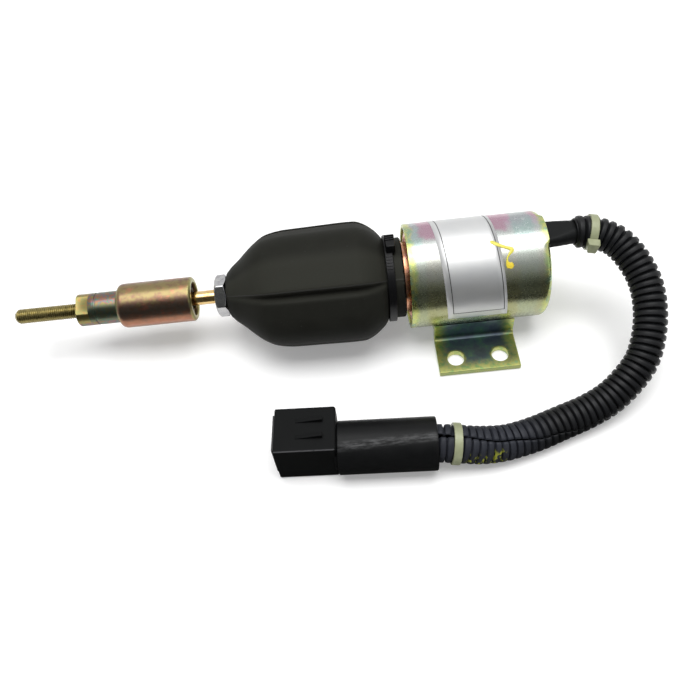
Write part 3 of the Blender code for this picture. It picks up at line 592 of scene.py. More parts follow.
def make_camera():
    """Camera at the photograph's place, leaning with it."""
    yaw = math.radians(CAMERA_YAW)
    pitch = math.radians(CAMERA_PITCH)
    roll = math.radians(CAMERA_ROLL)
    ahead = Vector((math.sin(yaw) * math.cos(pitch), math.cos(yaw) * math.cos(pitch),
                    -math.sin(pitch)))
    level = ahead.cross(Vector((0, 0, 1))).normalized()
    rise = level.cross(ahead)
    right = math.cos(roll) * level + math.sin(roll) * rise
    up = -math.sin(roll) * level + math.cos(roll) * rise
    data = bpy.data.cameras.new("photo_camera")
    data.lens = CAMERA_LENS
    data.clip_start = 0.01
    camera = bpy.data.objects.new("photo_camera", data)
    axes = Matrix((right, up, -ahead)).transposed().to_4x4()
    camera.matrix_world = Matrix.Translation(CAMERA_PLACE) @ axes
    bpy.context.scene.collection.objects.link(camera)
    bpy.context.scene.camera = camera


def stage_plane(name, corners, finish):
    """A flat plane of the stage, which is no part of the object."""
    mesh = bpy.data.meshes.new(name)
    mesh.from_pydata([Vector(c) for c in corners], [], [tuple(range(len(corners)))])
    mesh.materials.append(finish.material)
    plane = bpy.data.objects.new(name, mesh)
    bpy.context.scene.collection.objects.link(plane)
    return plane


def lamp_panel(name, spot, size, power, turn=0.0):
    """A rectangular lamp that shines straight down, turned in plan."""
    lamp = bpy.data.lights.new(name, "AREA")
    lamp.shape = "RECTANGLE"
    lamp.size = size[0]
    lamp.size_y = size[1]
    lamp.energy = power
    panel = bpy.data.objects.new(name, lamp)
    panel.matrix_world = Matrix.Translation(spot) @ Matrix.Rotation(math.radians(turn), 4, "Z")
    bpy.context.scene.collection.objects.link(panel)
    return panel


def make_floor():
    """White floor that keeps the object's shadow; it glows for all rays but diffuse ones."""
    floor = Finish("floor_white", (0.82, 0.82, 0.82), 0.9)
    camera_ray = floor.node("LightPath", output="Is Camera Ray")
    rays = camera_ray.socket.node.outputs
    shown = (camera_ray + Shade(floor, rays["Is Glossy Ray"])
             + Shade(floor, rays["Is Transmission Ray"]))
    plain = Shade(floor, floor.shader.outputs[0])
    glow = floor.node("Emission", {"Color": (1.0, 1.0, 1.0), "Strength": FLOOR_GLOW})
    both = floor.node("AddShader", {0: plain, 1: glow})
    seen = floor.node("MixShader", {0: shown, 1: plain, 2: both})
    floor.put(floor.tree.nodes["Material Output"].inputs["Surface"], seen)
    stage_plane("floor", [(x * FLOOR_HALF, y * FLOOR_HALF, FLOOR_LEVEL)
                          for x, y in ((-1, -1), (1, -1), (1, 1), (-1, 1))], floor)


def make_dark_card():
    """A card before the object and a sheet on the floor, dark but for the card's upper right.

    Only gloss shows them. They are painted reflections: the card stands in for the dark room before
    the object and has a painted glow at its upper right, and the sheet stands in for the shaded
    floor near the object.
    """
    reflection_card_finish = Finish("painted_reflection_card", (0.01, 0.01, 0.01), 0.9, Emission_Strength=1.0)
    # Painted light: the card's upper right glows paler, a painted reflection of lit surroundings,
    # while the rest stands in for the dark room.
    rightward = reflection_card_finish.step(reflection_card_finish.along, -80, 280)
    painted_glow = rightward * reflection_card_finish.step(reflection_card_finish.height, 100, 1300)
    reflection_card_finish.set("Emission Color", reflection_card_finish.blend(painted_glow, (0.05, 0.052, 0.048), (0.60, 0.62, 0.64)))
    card = stage_plane("dark_card", (
        (-CARD_HALF, CARD_FAR, -0.05), (CARD_HALF, CARD_FAR, -0.05), (CARD_HALF, -0.95, 1.6),
        (-CARD_HALF, -0.95, 1.6)), reflection_card_finish)
    floor_shade_sheet = stage_plane("painted_floor_shade", (
        (-CARD_HALF, CARD_FAR, 0.0), (CARD_HALF, CARD_FAR, 0.0), (CARD_HALF, -0.07, 0.0),
        (0.0, -0.07, 0.0), (-0.02, -0.05, 0.0), (-CARD_HALF, -0.05, 0.0)), reflection_card_finish)
    for plane in (card, floor_shade_sheet):
        plane.visible_camera = False
        plane.visible_diffuse = False
        plane.visible_shadow = False
        plane.visible_transmission = False


def make_lamps():
    """An overhead lamp for colour and shadow, a softbox for gloss, and a white room."""
    key = lamp_panel("key_lamp", KEY_SPOT, KEY_SIZE, KEY_POWER)
    key.visible_glossy = False
    softbox = lamp_panel("softbox", SOFTBOX_SPOT, SOFTBOX_SIZE, SOFTBOX_POWER, SOFTBOX_TURN)
    softbox.visible_diffuse = False
    world = bpy.data.worlds.new("white_room")
    world.use_nodes = True
    room = Nodes(world.node_tree)
    diffuse_ray = room.node("LightPath", output="Is Diffuse Ray")
    sky = world.node_tree.nodes["Background"]
    room.put(sky.inputs["Color"], (1.0, 1.0, 1.0))
    room.put(sky.inputs["Strength"], 1.0 - diffuse_ray * (1.0 - ROOM_LIGHT))
    bpy.context.scene.world = world


def can_zinc():
    """Yellow zinc on the can: grey in the middle, with pink, green and yellow drifts."""
    finish = Finish("can_yellow_zinc", roughness=0.2, metallic=1.0)
    drift = finish.noise(9.0, 3.0, 0.6) - 0.5
    grain = finish.noise(1.6, 3.0, 0.7) - 0.5
    face = finish.across / CAN_RADIUS
    spread = face * 0.5 + 0.5 + drift * 0.22 + grain * 0.06
    round_colour = finish.ramp(spread, (
        (0.00, (0.34, 0.34, 0.18)), (0.08, (0.34, 0.35, 0.22)), (0.18, (0.36, 0.36, 0.31)),
        (0.36, (0.36, 0.37, 0.35)), (0.50, (0.42, 0.44, 0.43)), (0.58, (0.45, 0.40, 0.44)),
        (0.66, (0.46, 0.29, 0.38)), (0.78, (0.43, 0.27, 0.32)), (0.87, (0.32, 0.36, 0.30)),
        (0.95, (0.38, 0.40, 0.18))))
    reach = finish.along + drift * 6 + grain * 2
    ends = 1 - finish.band(reach, 3.6, 53.0, 2.6)
    end_colour = finish.ramp(finish.noise(4.0, 2.0), (
        (0.35, (0.32, 0.44, 0.16)), (0.50, (0.50, 0.52, 0.16)), (0.65, (0.26, 0.40, 0.25))))
    aqua = finish.band(reach, 3.4, 5.8, 2.0) + finish.band(reach, 45.0, 50.5, 2.5)
    upward = finish.step(finish.across, -12, 4)
    tinted = finish.blend(aqua * (0.15 + upward * 0.45), round_colour, (0.28, 0.43, 0.40))
    colour = finish.blend(ends * 0.9, tinted, end_colour)
    scuffs = finish.noise(1.3, 4.0, 0.7, finish.stretched((1.0, 2.2, 2.2)), 1.2)
    spot = finish.band(finish.along, 44.5, 49.5, 1.5) * finish.band(finish.across, -4.5, 7.0, 2.0)
    wear_and_painted_highlight = finish.step(scuffs, 0.60, 0.66) * spot
    mauve = finish.band(spread, 0.53, 0.86, 0.05) * finish.band(reach, 6.5, 40.0, 2.5)
    colour = finish.blend(mauve * 0.8, colour, (0.42, 0.25, 0.32))
    finish.set("Base Color", finish.blend(wear_and_painted_highlight, colour, (0.72, 0.72, 0.72)))
    finish.set("Roughness", 0.19 + finish.noise(3.0, 4.0, 0.7) * 0.16 + wear_and_painted_highlight * 0.2)
    finish.bump(finish.noise(0.9, 3.0, 0.6) + finish.noise(6.0) * 3.0, 0.35, 0.03)
    return finish


def plated(name, stops, roughness, size=3.0, marks=0.0, relief=0.01):
    """Plated steel with drifting colours; marks adds the rings that a lathe tool leaves."""
    finish = Finish(name, roughness=roughness, metallic=1.0)
    drift = finish.noise(size, 3.0, 0.6)
    finish.set("Base Color", finish.ramp(drift, stops))
    grain = finish.noise(0.7, 3.0, 0.6)
    finish.set("Roughness", roughness - 0.05 + grain * 0.1)
    if marks:
        rings = finish.noise(0.35, 2.0, 0.6, finish.stretched((1.0, 0.02, 0.02)))
        finish.bump(rings * marks + grain * 0.3, 0.5, relief)
    else:
        finish.bump(grain, 0.4, relief)
    return finish


def link_zinc():
    """Yellow zinc on the link: brown-red and salmon, gold at the top and green low down, with
    painted shade on its upper side and round the middle of its neck.
    """
    finish = Finish("link_yellow_zinc", roughness=0.24, metallic=1.0)
    drift = finish.noise(2.6, 3.0, 0.65) - 0.5
    rise = finish.height / LINK_RADIUS * 0.5 + 0.5 + drift * 0.5
    # Painted shade: the stops from 0.6 up are darker, to dim the lamp's highlight on the link's
    # upper side.
    body = finish.ramp(rise, (
        (0.10, (0.30, 0.25, 0.12)), (0.25, (0.38, 0.20, 0.13)), (0.42, (0.34, 0.15, 0.085)),
        (0.60, (0.24, 0.13, 0.085)), (0.76, (0.19, 0.145, 0.115)), (0.88, (0.19, 0.115, 0.08)),
        (1.00, (0.24, 0.19, 0.09))))
    rust = finish.step(finish.noise(3.5, 3.0, 0.7, finish.stretched((0.6, 1.0, 1.0))), 0.52, 0.68)
    body = finish.blend(rust * 0.55, body, (0.40, 0.15, 0.10))
    near_edge = 1 - finish.band(finish.along + drift * 2, LINK_FRONT + 1.6, LINK_BACK - 1.4, 1.6)
    body = finish.blend(near_edge * 0.7, body, (0.34, 0.36, 0.13))
    neck = finish.ramp(finish.noise(1.5, 3.0, 0.7, None, 0.6), (
        (0.30, (0.18, 0.21, 0.07)), (0.42, (0.21, 0.14, 0.06)), (0.49, (0.25, 0.10, 0.10)),
        (0.56, (0.11, 0.13, 0.15)), (0.64, (0.09, 0.18, 0.10)), (0.74, (0.22, 0.18, 0.06))))
    olive = finish.ramp(finish.noise(1.2, 2.0, 0.6), (
        (0.35, (0.22, 0.22, 0.08)), (0.55, (0.28, 0.22, 0.08)), (0.70, (0.32, 0.18, 0.06))))
    is_flat = 1 - finish.step(finish.along, NECK_FRONT + FLATS_LENGTH,
                              NECK_FRONT + FLATS_LENGTH + 0.3)
    above = finish.step(finish.height, -1.5, -0.5)
    # Painted shade: a dark green band round the neck just above its axis stands in for a dark
    # reflection.
    painted_dark_band = finish.band(finish.height, 0.0, 5.6, 1.0)
    neck = finish.blend(painted_dark_band * 0.7, neck, (0.11, 0.16, 0.10))
    neck = finish.blend(is_flat * above * 0.9, neck, olive)
    is_neck = 1 - finish.step(finish.along, LINK_FRONT - 1, LINK_FRONT + 1)
    finish.set("Base Color", finish.blend(is_neck, body, neck))
    finish.set("Roughness", 0.26 + finish.noise(2.0) * 0.14)
    rings = finish.noise(0.4, 2.0, 0.6, finish.stretched((1.0, 0.02, 0.02)))
    finish.bump(rings + finish.noise(0.8, 3.0) * 0.5, 0.5, 0.012)
    return finish


def rubber(name, colour, roughness, dust=0.02, specular=0.35, seam=False):
    """Moulded rubber: satin, with faint mottling, specks and fine grain.

    The boot's has a paler line along its seam and, above it, painted light: its near upper flank is
    paler, as if lit.
    """
    finish = Finish(name, roughness=roughness, Specular_IOR_Level=specular)
    cloud = finish.noise(14.0, 4.0, 0.6)
    speck = finish.step(finish.noise(0.8, 2.0, 0.5), 0.70, 0.78)
    light = tuple(c * 1.5 + dust * 0.25 for c in colour)
    base = finish.blend(cloud, colour, light)
    marks = speck * 0.35
    if seam:
        turn = finish.height.math("ARCTAN2", finish.height, finish.across)
        seam_turn = math.radians(SEAM_TURN)
        half = math.radians(SEAM_LINE)
        for middle in (seam_turn, seam_turn - math.pi):
            marks = marks + finish.band(turn, middle - half, middle + half, half) * 0.45
        # Painted light: the near upper flank, from this turn to the seam, is paler as if lit.
        painted_light = finish.band(turn, math.radians(PAINTED_LIGHT_TURN), seam_turn, math.radians(PAINTED_LIGHT_SOFT))
        base = finish.blend(painted_light, base, tuple(c * 2.3 for c in colour))
    finish.set("Base Color", finish.blend(marks, base, (dust + 0.05,) * 3))
    finish.set("Roughness", roughness - 0.06 + cloud * 0.12)
    finish.bump(finish.noise(0.5, 3.0, 0.6) + cloud * 2.0, 0.35, 0.03)
    return finish


def plastic(name, colour, roughness, relief=0.015, specular=0.5):
    """Moulded plastic: even, with fine grain and slight unevenness of gloss."""
    finish = Finish(name, roughness=roughness, Specular_IOR_Level=specular)
    cloud = finish.noise(8.0, 3.0, 0.55)
    light = tuple(c * 1.35 for c in colour)
    finish.set("Base Color", finish.blend(cloud, colour, light))
    finish.set("Roughness", roughness - 0.08 + cloud * 0.16)
    finish.bump(finish.noise(0.4, 2.0, 0.6) + cloud, 0.3, relief)
    return finish


def plug_plastic():
    """Black nylon of the plug, paler along its top front edge: a painted highlight along the edge's
    rounding.
    """
    finish = Finish("plug_nylon", roughness=0.42, Specular_IOR_Level=0.04)
    cloud = finish.noise(8.0, 3.0, 0.55)
    lean = math.radians(PLUG_YAW)
    across = ((finish.across - PLUG_PLACE[1]) * math.cos(lean)
              - (finish.along - PLUG_PLACE[0]) * math.sin(lean))
    front = 1 - finish.step(across, PLUG_OFFSET - PLUG_WIDTH / 2 + 0.25,
                            PLUG_OFFSET - PLUG_WIDTH / 2 + 0.6)
    top = PLUG_PLACE[2] + PLUG_MIDDLE + PLUG_HEIGHT / 2 - AXIS_Z / MM
    edge = front * finish.step(finish.height, top - 0.6, top - 0.25)
    # Painted highlight: a paler line, broken by noise, along the rounding of the top front edge.
    wear_and_painted_highlight = edge * finish.step(finish.noise(2.2, 2.0), 0.30, 0.42)
    base = finish.blend(cloud, (0.0058, 0.0061, 0.0062), (0.0078, 0.0083, 0.0085))
    finish.set("Base Color", finish.blend(wear_and_painted_highlight * 0.8, base, (0.10, 0.10, 0.105)))
    finish.set("Roughness", 0.40 + cloud * 0.12)
    finish.bump(finish.noise(0.4, 2.0, 0.6) + cloud, 0.3, 0.02)
    return finish


def make_finishes():
    """Every finish of the object by name."""
    grey_zinc = ((0.30, (0.36, 0.36, 0.37)), (0.50, (0.44, 0.44, 0.45)),
                 (0.72, (0.52, 0.52, 0.50)))
    gold = ((0.30, (0.56, 0.34, 0.13)), (0.50, (0.70, 0.48, 0.20)), (0.70, (0.75, 0.58, 0.32)))
    olive = ((0.30, (0.17, 0.14, 0.055)), (0.50, (0.25, 0.21, 0.085)), (0.70, (0.32, 0.26, 0.10)))
    steel = ((0.30, (0.34, 0.33, 0.32)), (0.55, (0.45, 0.44, 0.43)), (0.75, (0.50, 0.49, 0.47)))
    copper = ((0.30, (0.48, 0.20, 0.11)), (0.50, (0.58, 0.29, 0.17)), (0.70, (0.60, 0.30, 0.27)))
    wire = ((0.30, (0.42, 0.16, 0.07)), (0.50, (0.52, 0.23, 0.10)), (0.70, (0.58, 0.28, 0.13)))
    brass = ((0.30, (0.55, 0.40, 0.16)), (0.60, (0.66, 0.50, 0.22)))
    tin = ((0.30, (0.58, 0.58, 0.56)), (0.60, (0.68, 0.68, 0.66)))
    return {
        "can": can_zinc(),
        "plate": plated("plate_copper_flash", copper, 0.22, 2.0, 1.0, 0.03),
        "nut": plated("nut_bright_zinc", grey_zinc, 0.22, 2.5, 0.6, 0.01),
        "rod": plated("rod_gold_zinc", gold, 0.16, 3.0, 0.6, 0.008),
        "stud": plated("stud_olive_zinc", olive, 0.30, 1.6, 0.0, 0.02),
        "link": link_zinc(),
        "steel": plated("turned_steel", steel, 0.32, 4.0, 1.0, 0.015),
        "spring": plated("spring_steel", steel, 0.28, 2.0, 0.0, 0.01),
        "brass": plated("tube_brass", brass, 0.28, 5.0, 0.6, 0.01),
        "wire": plated("winding_wire", wire, 0.35, 1.5, 1.2, 0.08),
        "tin": plated("terminal_tin", tin, 0.30, 1.5, 0.0, 0.01),
        "boot": rubber("boot_rubber", (0.0115, 0.0117, 0.0096), 0.55, 0.008, 0.04, True),
        "seal": rubber("seal_rubber", (0.020, 0.020, 0.021), 0.5),
        "black_tie": plastic("black_nylon", (0.0035, 0.0035, 0.004), 0.34, 0.015, 0.18),
        "lead_sleeve": plastic("lead_sleeve_plastic", (0.0055, 0.006, 0.0062), 0.5, 0.015, 0.10),
        "plug": plug_plastic(),
        "bobbin": plastic("bobbin_nylon", (0.02, 0.02, 0.021), 0.45),
        "insulation": plastic("wire_insulation", (0.016, 0.016, 0.017), 0.4),
    }


def can_outline(corner):
    """Outline of the cup's outer side from rim to middle, with a rear corner of its own."""
    points = [(0.25, CAN_RADIUS), (3.0, CAN_RADIUS)]
    points += [(10.0 + 7.0 * i, CAN_RADIUS) for i in range(6)]
    points.append((CAN_LENGTH - CAN_CORNER - 0.3, CAN_RADIUS))
    for i in range(9):
        turn = math.radians(90 - 90 * i / 8)
        points.append((CAN_LENGTH - corner + corner * math.sin(math.pi / 2 - turn),
                       CAN_RADIUS - corner + corner * math.sin(turn)))
    points += [(CAN_LENGTH, 17.0), (CAN_LENGTH, 9.0), (CAN_LENGTH, 0.0)]
    return points


def make_can(finish):
    """Drawn cup whose rear corner turns sharp at the lip over the lead's window."""
    steps = 144
    floor = CAN_LENGTH - CAN_WALL
    bore = CAN_RADIUS - CAN_WALL
    inner = [(floor, 0.0), (floor, 9.0), (floor, bore - 1.4), (floor - 0.4, bore - 0.45),
             (floor - 1.4, bore), (30.0, bore), (3.0, bore), (0.3, bore),
             (0.06, bore + 0.12), (0.0, bore + 0.4), (0.0, CAN_RADIUS - 0.35),
             (0.07, CAN_RADIUS - 0.08)]
    lip_half = math.degrees(math.asin(WINDOW_HALF / CAN_RADIUS))
    columns = []
    for i in range(steps):
        turn = 360 * i / steps
        away = abs((turn - 90 + 180) % 360 - 180)
        share = smoothstep(lip_half - 1, lip_half + 7, away)
        corner = LIP_CORNER + (CAN_CORNER - LIP_CORNER) * share
        columns.append((turn, can_outline(corner) + inner[1:]))
    rings = []
    for k in range(len(columns[0][1])):
        ring = [place(*outline[k], turn) for turn, outline in columns]
        rings.append(ring if columns[0][1][k][1] else [ring[0]])
    middle = len(can_outline(CAN_CORNER))
    ordered = rings[:middle][::-1] + rings[middle:][::-1] + [[place(*inner[0], 0)]]
    piece = loft("can_shell", ordered, finish)
    reach = math.asin(WINDOW_HALF / bore)
    window = [(WINDOW_HALF, WINDOW_FOOT)]
    window += [(bore * math.sin(reach * (1 - t / 4)), bore * math.cos(reach * (1 - t / 4)))
               for t in range(9)]
    window += [(-WINDOW_HALF, WINDOW_FOOT)]
    rings = [[Vector((RIM_X + along * MM, y * MM, AXIS_Z + z * MM)) for y, z in window]
             for along in (WINDOW_FRONT, CAN_LENGTH + 1)]
    cut(piece, prism("window_cutter", rings, finish))
    crisp(piece)
    dress(piece, "solenoid", "can")


def prism(name, rings, finish):
    """A solid between two like outlines."""
    count = len(rings[0])
    faces = [tuple(range(count)), tuple(range(count, 2 * count))]
    for i in range(count):
        j = (i + 1) % count
        faces.append((i, j, count + j, count + i))
    return mesh_piece(name, rings[0] + rings[1], faces, finish)


def patch(name, finish, spots, lift, thickness):
    """A thin sheet on the can: rows of (along, turn) places, lifted off the steel."""
    rings = []
    for height in (lift + thickness, lift):
        rings.append([[place(a, CAN_RADIUS + height, t) for a, t in row] for row in spots])
    rows = len(spots)
    width = len(spots[0])
    verts = [p for layer in rings for row in layer for p in row]
    base = rows * width
    faces = []
    for r in range(rows - 1):
        for c in range(width - 1):
            a = r * width + c
            faces.append((a, a + 1, a + width + 1, a + width))
            faces.append((base + a, base + a + width, base + a + width + 1, base + a + 1))
    edge = [c for c in range(width)] + [r * width + width - 1 for r in range(1, rows)]
    edge += [(rows - 1) * width + c for c in range(width - 2, -1, -1)]
    edge += [r * width for r in range(rows - 2, 0, -1)]
    for one, other in zip(edge, edge[1:] + edge[:1]):
        faces.append((one, other, base + other, base + one))
    return mesh_piece(name, verts, faces, finish)


def label_spots(front, back, low, high, columns, rows):
    """Rows of places for a rectangle that leans with the label."""
    spots = []
    for r in range(rows + 1):
        turn = low + (high - low) * r / rows
        lean = LABEL_LEAN * (turn - LABEL_LEAN_TURN)
        spots.append([(front + (back - front) * c / columns + lean, turn)
                      for c in range(columns + 1)])
    return spots


def make_label():
    """Foil label wrapped round the can, with its printed frame line and no words."""
    foil = Finish("label_foil", (0.74, 0.75, 0.76), 0.4, 0.8)
    streak = foil.noise(0.5, 2.0, 0.6, foil.stretched((0.08, 1.0, 1.0)))
    cloud = foil.noise(7.0, 3.0)
    foil.set("Base Color", foil.blend(cloud, (0.57, 0.58, 0.59), (0.65, 0.65, 0.64)))
    foil.set("Roughness", 0.36 + streak * 0.14)
    foil.bump(streak, 0.3, 0.01)
    piece = patch("label", foil, label_spots(LABEL_FRONT, LABEL_BACK, LABEL_LOW, LABEL_HIGH,
                                             8, 90), 0.02, LABEL_THICKNESS)
    dress(piece, "solenoid")
    ink = Finish("label_ink", (0.02, 0.02, 0.022), 0.5)
    ink.set("Base Color", ink.blend(ink.noise(1.2, 3.0), (0.016, 0.016, 0.018),
                                    (0.05, 0.05, 0.052)))
    front = LABEL_FRONT + FRAME_IN_FRONT
    back = LABEL_BACK - FRAME_IN_BACK
    low = LABEL_LOW - FRAME_IN_TURN
    high = LABEL_HIGH + FRAME_IN_TURN
    thin = math.degrees(FRAME_LINE / CAN_RADIUS)
    sides = {
        "label_line_front": (front, front + FRAME_LINE, low, high, 1, 80),
        "label_line_back": (back - FRAME_LINE, back, low, high, 1, 80),
        "label_line_low": (front, back, low, low - thin, 8, 1),
        "label_line_high": (front, back, high + thin, high, 8, 1),
    }
    for name, sizes in sides.items():
        line = patch(name, ink, label_spots(*sizes), LABEL_THICKNESS + 0.03, 0.02)
        dress(line, "solenoid")


def make_paint_mark():
    """The inspector's dab of yellow paint: a thin stroke that ends in a drop."""
    paint = Finish("inspection_paint", (0.62, 0.52, 0.03), 0.3)
    drop = paint.band(paint.along, 38.9, 41.5, 0.6) * paint.band(
        paint.height, 14.0, 17.6, 0.8)
    shade = paint.blend(paint.noise(0.9, 2.0), (0.56, 0.50, 0.03), (0.76, 0.68, 0.08))
    paint.set("Base Color", paint.blend(drop * 0.6, shade, (0.80, 0.56, 0.03)))
    stroke = ((33.3, 103.0, 0.5), (34.3, 105.0, 0.8), (36.6, 108.6, 0.75), (39.0, 111.5, 0.6),
              (41.2, 114.0, 0.8), (41.0, 116.6, 0.7), (40.0, 119.4, 0.42), (39.2, 122.6, 0.34),
              (38.9, 126.0, 0.4), (39.2, 129.0, 1.0), (39.7, 130.6, 1.55), (40.0, 132.0, 1.5),
              (40.1, 133.4, 0.9), (40.1, 134.2, 0.3))
    points = [Vector((a, math.radians(t) * CAN_RADIUS, w)) for a, t, w in stroke]
    fine = smooth_route(points, 60)
    rings = []
    for index, spot in enumerate(fine):
        before = fine[max(index - 1, 0)]
        after = fine[min(index + 1, len(fine) - 1)]
        run = Vector((after.x - before.x, after.y - before.y)).normalized()
        side = Vector((-run.y, run.x))
        ring = []
        for k in range(12):
            turn = 2 * math.pi * k / 12
            offset = side * math.cos(turn) * spot.z
            lift = 0.14 + 0.14 * math.sin(turn) * (0.7 + 0.3 * spot.z)
            ring.append(place(spot.x + offset.x, CAN_RADIUS + max(lift, 0.02),
                              math.degrees((spot.y + offset.y) / CAN_RADIUS)))
        rings.append(ring)
    dress(loft("paint_mark", capped(rings), paint), "solenoid")


def make_front_plate(finish):
    """Plate inside the rim with the collar under the cuff, and its turned bead."""
    outline = soften([
        (4.5, 10.8), (1.5, 10.8), (1.5, 13.5), (-11.5, 13.5), (-11.5, 14.9), (1.5, 14.9),
        (1.5, 17.3), (0.7, 17.7), (0.7, 18.5), (1.5, 18.9), (1.5, 20.5), (4.5, 20.5),
    ], 0.3)
    dress(lathe("collar_plate", outline, finish, 120, wrap=True), "solenoid", "front_plate")


def arc_reach(turn, radius, offset):
    """Distance from the axis to a circle whose centre is set off from it."""
    return offset * math.cos(turn) + math.sqrt(radius ** 2 - (offset * math.sin(turn)) ** 2)


def lobe_reach(turn, radius, offset):
    """Distance from the axis to the boot's skin, for a section of a size and lobe offset."""
    away = abs((turn + LOBE_PITCH / 2) % LOBE_PITCH - LOBE_PITCH / 2)
    lean = math.radians(away)
    tangent = math.radians(FLANK_LEAN)
    centre = LOBE_TIP - LOBE_ROUND
    flank_start = math.atan2(LOBE_ROUND * math.sin(tangent),
                             centre + LOBE_ROUND * math.cos(tangent))
    if lean < flank_start:
        full = arc_reach(lean, LOBE_ROUND, centre)
    else:
        full = (LOBE_ROUND + centre * math.cos(tangent)) / math.cos(lean - tangent)
    groove = (turn - GROOVE_SHIFT) % LOBE_PITCH - LOBE_PITCH / 2
    full -= GROOVE_DEPTH * math.exp(-(groove / GROOVE_WIDTH) ** 2)
    full *= (radius + offset) / LOBE_TIP
    lobed = offset / LOBE_OFFSET
    return full * lobed + arc_reach(lean, radius, offset) * (1 - lobed)


def make_boot(finish):
    """Rubber boot: four lobes with rounded crests and narrow valleys, nose and cuff."""
    circle = LOBE_TIP - LOBE_OFFSET
    nose = ((0.000, 0.00, 0.00), (0.035, 0.24, 0.08), (0.078, 0.45, 0.20), (0.146, 0.74, 0.50),
            (0.194, 0.84, 0.75), (0.248, 0.88, 0.93), (0.350, 0.94, 1.00), (0.507, 0.97, 1.00),
            (0.650, 1.00, 1.00))
    cuff = ((0.715, 1.00, 1.00), (0.768, 0.88, 0.98), (0.822, 0.50, 0.82), (0.868, 0.38, 0.48),
            (0.892, 0.16, 0.18), (0.905, 0.00, 0.00), (0.950, 0.00, 0.00), (1.000, 0.00, 0.00))
    stations = []
    for group, end in ((nose, BOOT_NOSE), (cuff, CUFF_RADIUS)):
        for share, swell, lobe in group:
            stations.append((BOOT_FRONT + share * (BOOT_BACK - BOOT_FRONT),
                             end + swell * (circle - end), lobe * LOBE_OFFSET))
    fine = [(along, radius, min(max(offset, 0.0), LOBE_OFFSET))
            for along, radius, offset in smooth_route(stations, 130)]
    steps = 240
    outer = []
    for along, radius, offset in fine:
        ring = []
        for i in range(steps):
            turn = 360 * i / steps
            seam = abs((turn - SEAM_TURN + 90) % 180 - 90)
            ridge = SEAM_HEIGHT * max(0.0, 1 - seam / SEAM_HALF)
            ring.append(place(along, lobe_reach(turn, radius, offset) + ridge, turn))
        outer.append(ring)
    lip = 0.5
    bore = CUFF_RADIUS - BOOT_WALL + 0.05
    rings = [circle_ring(*spot, steps) for spot in (
        (BOOT_FRONT, BOOT_HOLE), (BOOT_FRONT, BOOT_NOSE - lip))]
    rings += outer[1:-1]
    rings += [circle_ring(*spot, steps) for spot in (
        (BOOT_BACK - lip, CUFF_RADIUS), (BOOT_BACK, CUFF_RADIUS - lip), (BOOT_BACK, bore),
        (BOOT_BACK - CUFF_DEPTH, bore))]
    for along, radius, offset in fine[-22:8:-5]:
        rings.append([place(along, lobe_reach(360 * i / steps, radius, offset) - BOOT_WALL,
                            360 * i / steps) for i in range(steps)])
    rings += [circle_ring(*spot, steps) for spot in (
        (BOOT_FRONT + BOOT_WALL, BOOT_NOSE - 0.8), (BOOT_FRONT + BOOT_WALL, BOOT_HOLE))]
    piece = loft("rubber_boot", rings, finish, wrap=True)
    place(BOOT_STILL_FROM, 0, 0)
    place(BOOT_MOVED_FROM, 0, 0)
    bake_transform(piece)
    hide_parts("boot")


def circle_ring(along, radius, steps):
    """Points round the solenoid's axis at one radius."""
    return [place(along, radius, 360 * i / steps) for i in range(steps)]


def tie_band(name, finish, centre, ahead, side, up, inner, width, steps=72):
    """Closed band of a cable tie round a centre, with rounded edges."""
    section = soften([(-width / 2, inner), (-width / 2, inner + TIE_BAND),
                      (width / 2, inner + TIE_BAND), (width / 2, inner)], 0.3)
    rings = [ring_about(centre + ahead * along * MM, side, up, radius, steps)
             for along, radius in section]
    return crisp(loft(name, rings, finish, wrap=True))


def tie_head(name, finish, centre, ahead, round_way, out, size, taper, ridges=0):
    """Head of a cable tie: a tapered block, with ridges when it has them."""
    width, length, height = size
    bm = bmesh.new()
    corners = {}
    for sx in (-1, 1):
        for sy in (-1, 1):
            for sz in (-1, 1):
                narrow = 1 - taper * (sy > 0) - 0.08 * (sz > 0)
                spot = Vector((sx * width / 2 * narrow, sy * length / 2 * (1 - 0.08 * (sz > 0)),
                               sz * height / 2))
                corners[sx, sy, sz] = bm.verts.new(spot)
    for axis in range(3):
        for sign in (-1, 1):
            ring = [k for k in corners if k[axis] == sign]
            others = [i for i in range(3) if i != axis]
            ring.sort(key=lambda k: math.atan2(k[others[1]], k[others[0]]))
            bm.faces.new([corners[k] for k in ring])
    bmesh.ops.recalc_face_normals(bm, faces=bm.faces)
    bmesh.ops.bevel(bm, geom=bm.edges[:], offset=0.55, segments=3, profile=0.6,
                    affect="EDGES", clamp_overlap=True)
    for index in range(ridges):
        spot = (0, -length / 2 + 1.3 + index * 1.25, height / 2)
        ridge = bmesh.ops.create_cube(bm, size=1.0, matrix=Matrix.Translation(spot)
                                      @ Matrix.Diagonal((width * 0.86, 0.55, 0.7, 1.0)))
        edges = {e for v in ridge["verts"] for e in v.link_edges}
        bmesh.ops.bevel(bm, geom=list(edges), offset=0.18, segments=2, profile=0.6,
                        affect="EDGES", clamp_overlap=True)
    axes = Matrix((ahead, round_way, out)).transposed().to_4x4()
    bmesh.ops.transform(bm, matrix=Matrix.Translation(centre) @ axes
                        @ Matrix.Diagonal((MM, MM, MM, 1.0)), verts=bm.verts)
    return crisp(finish_mesh(name, bm, finish))


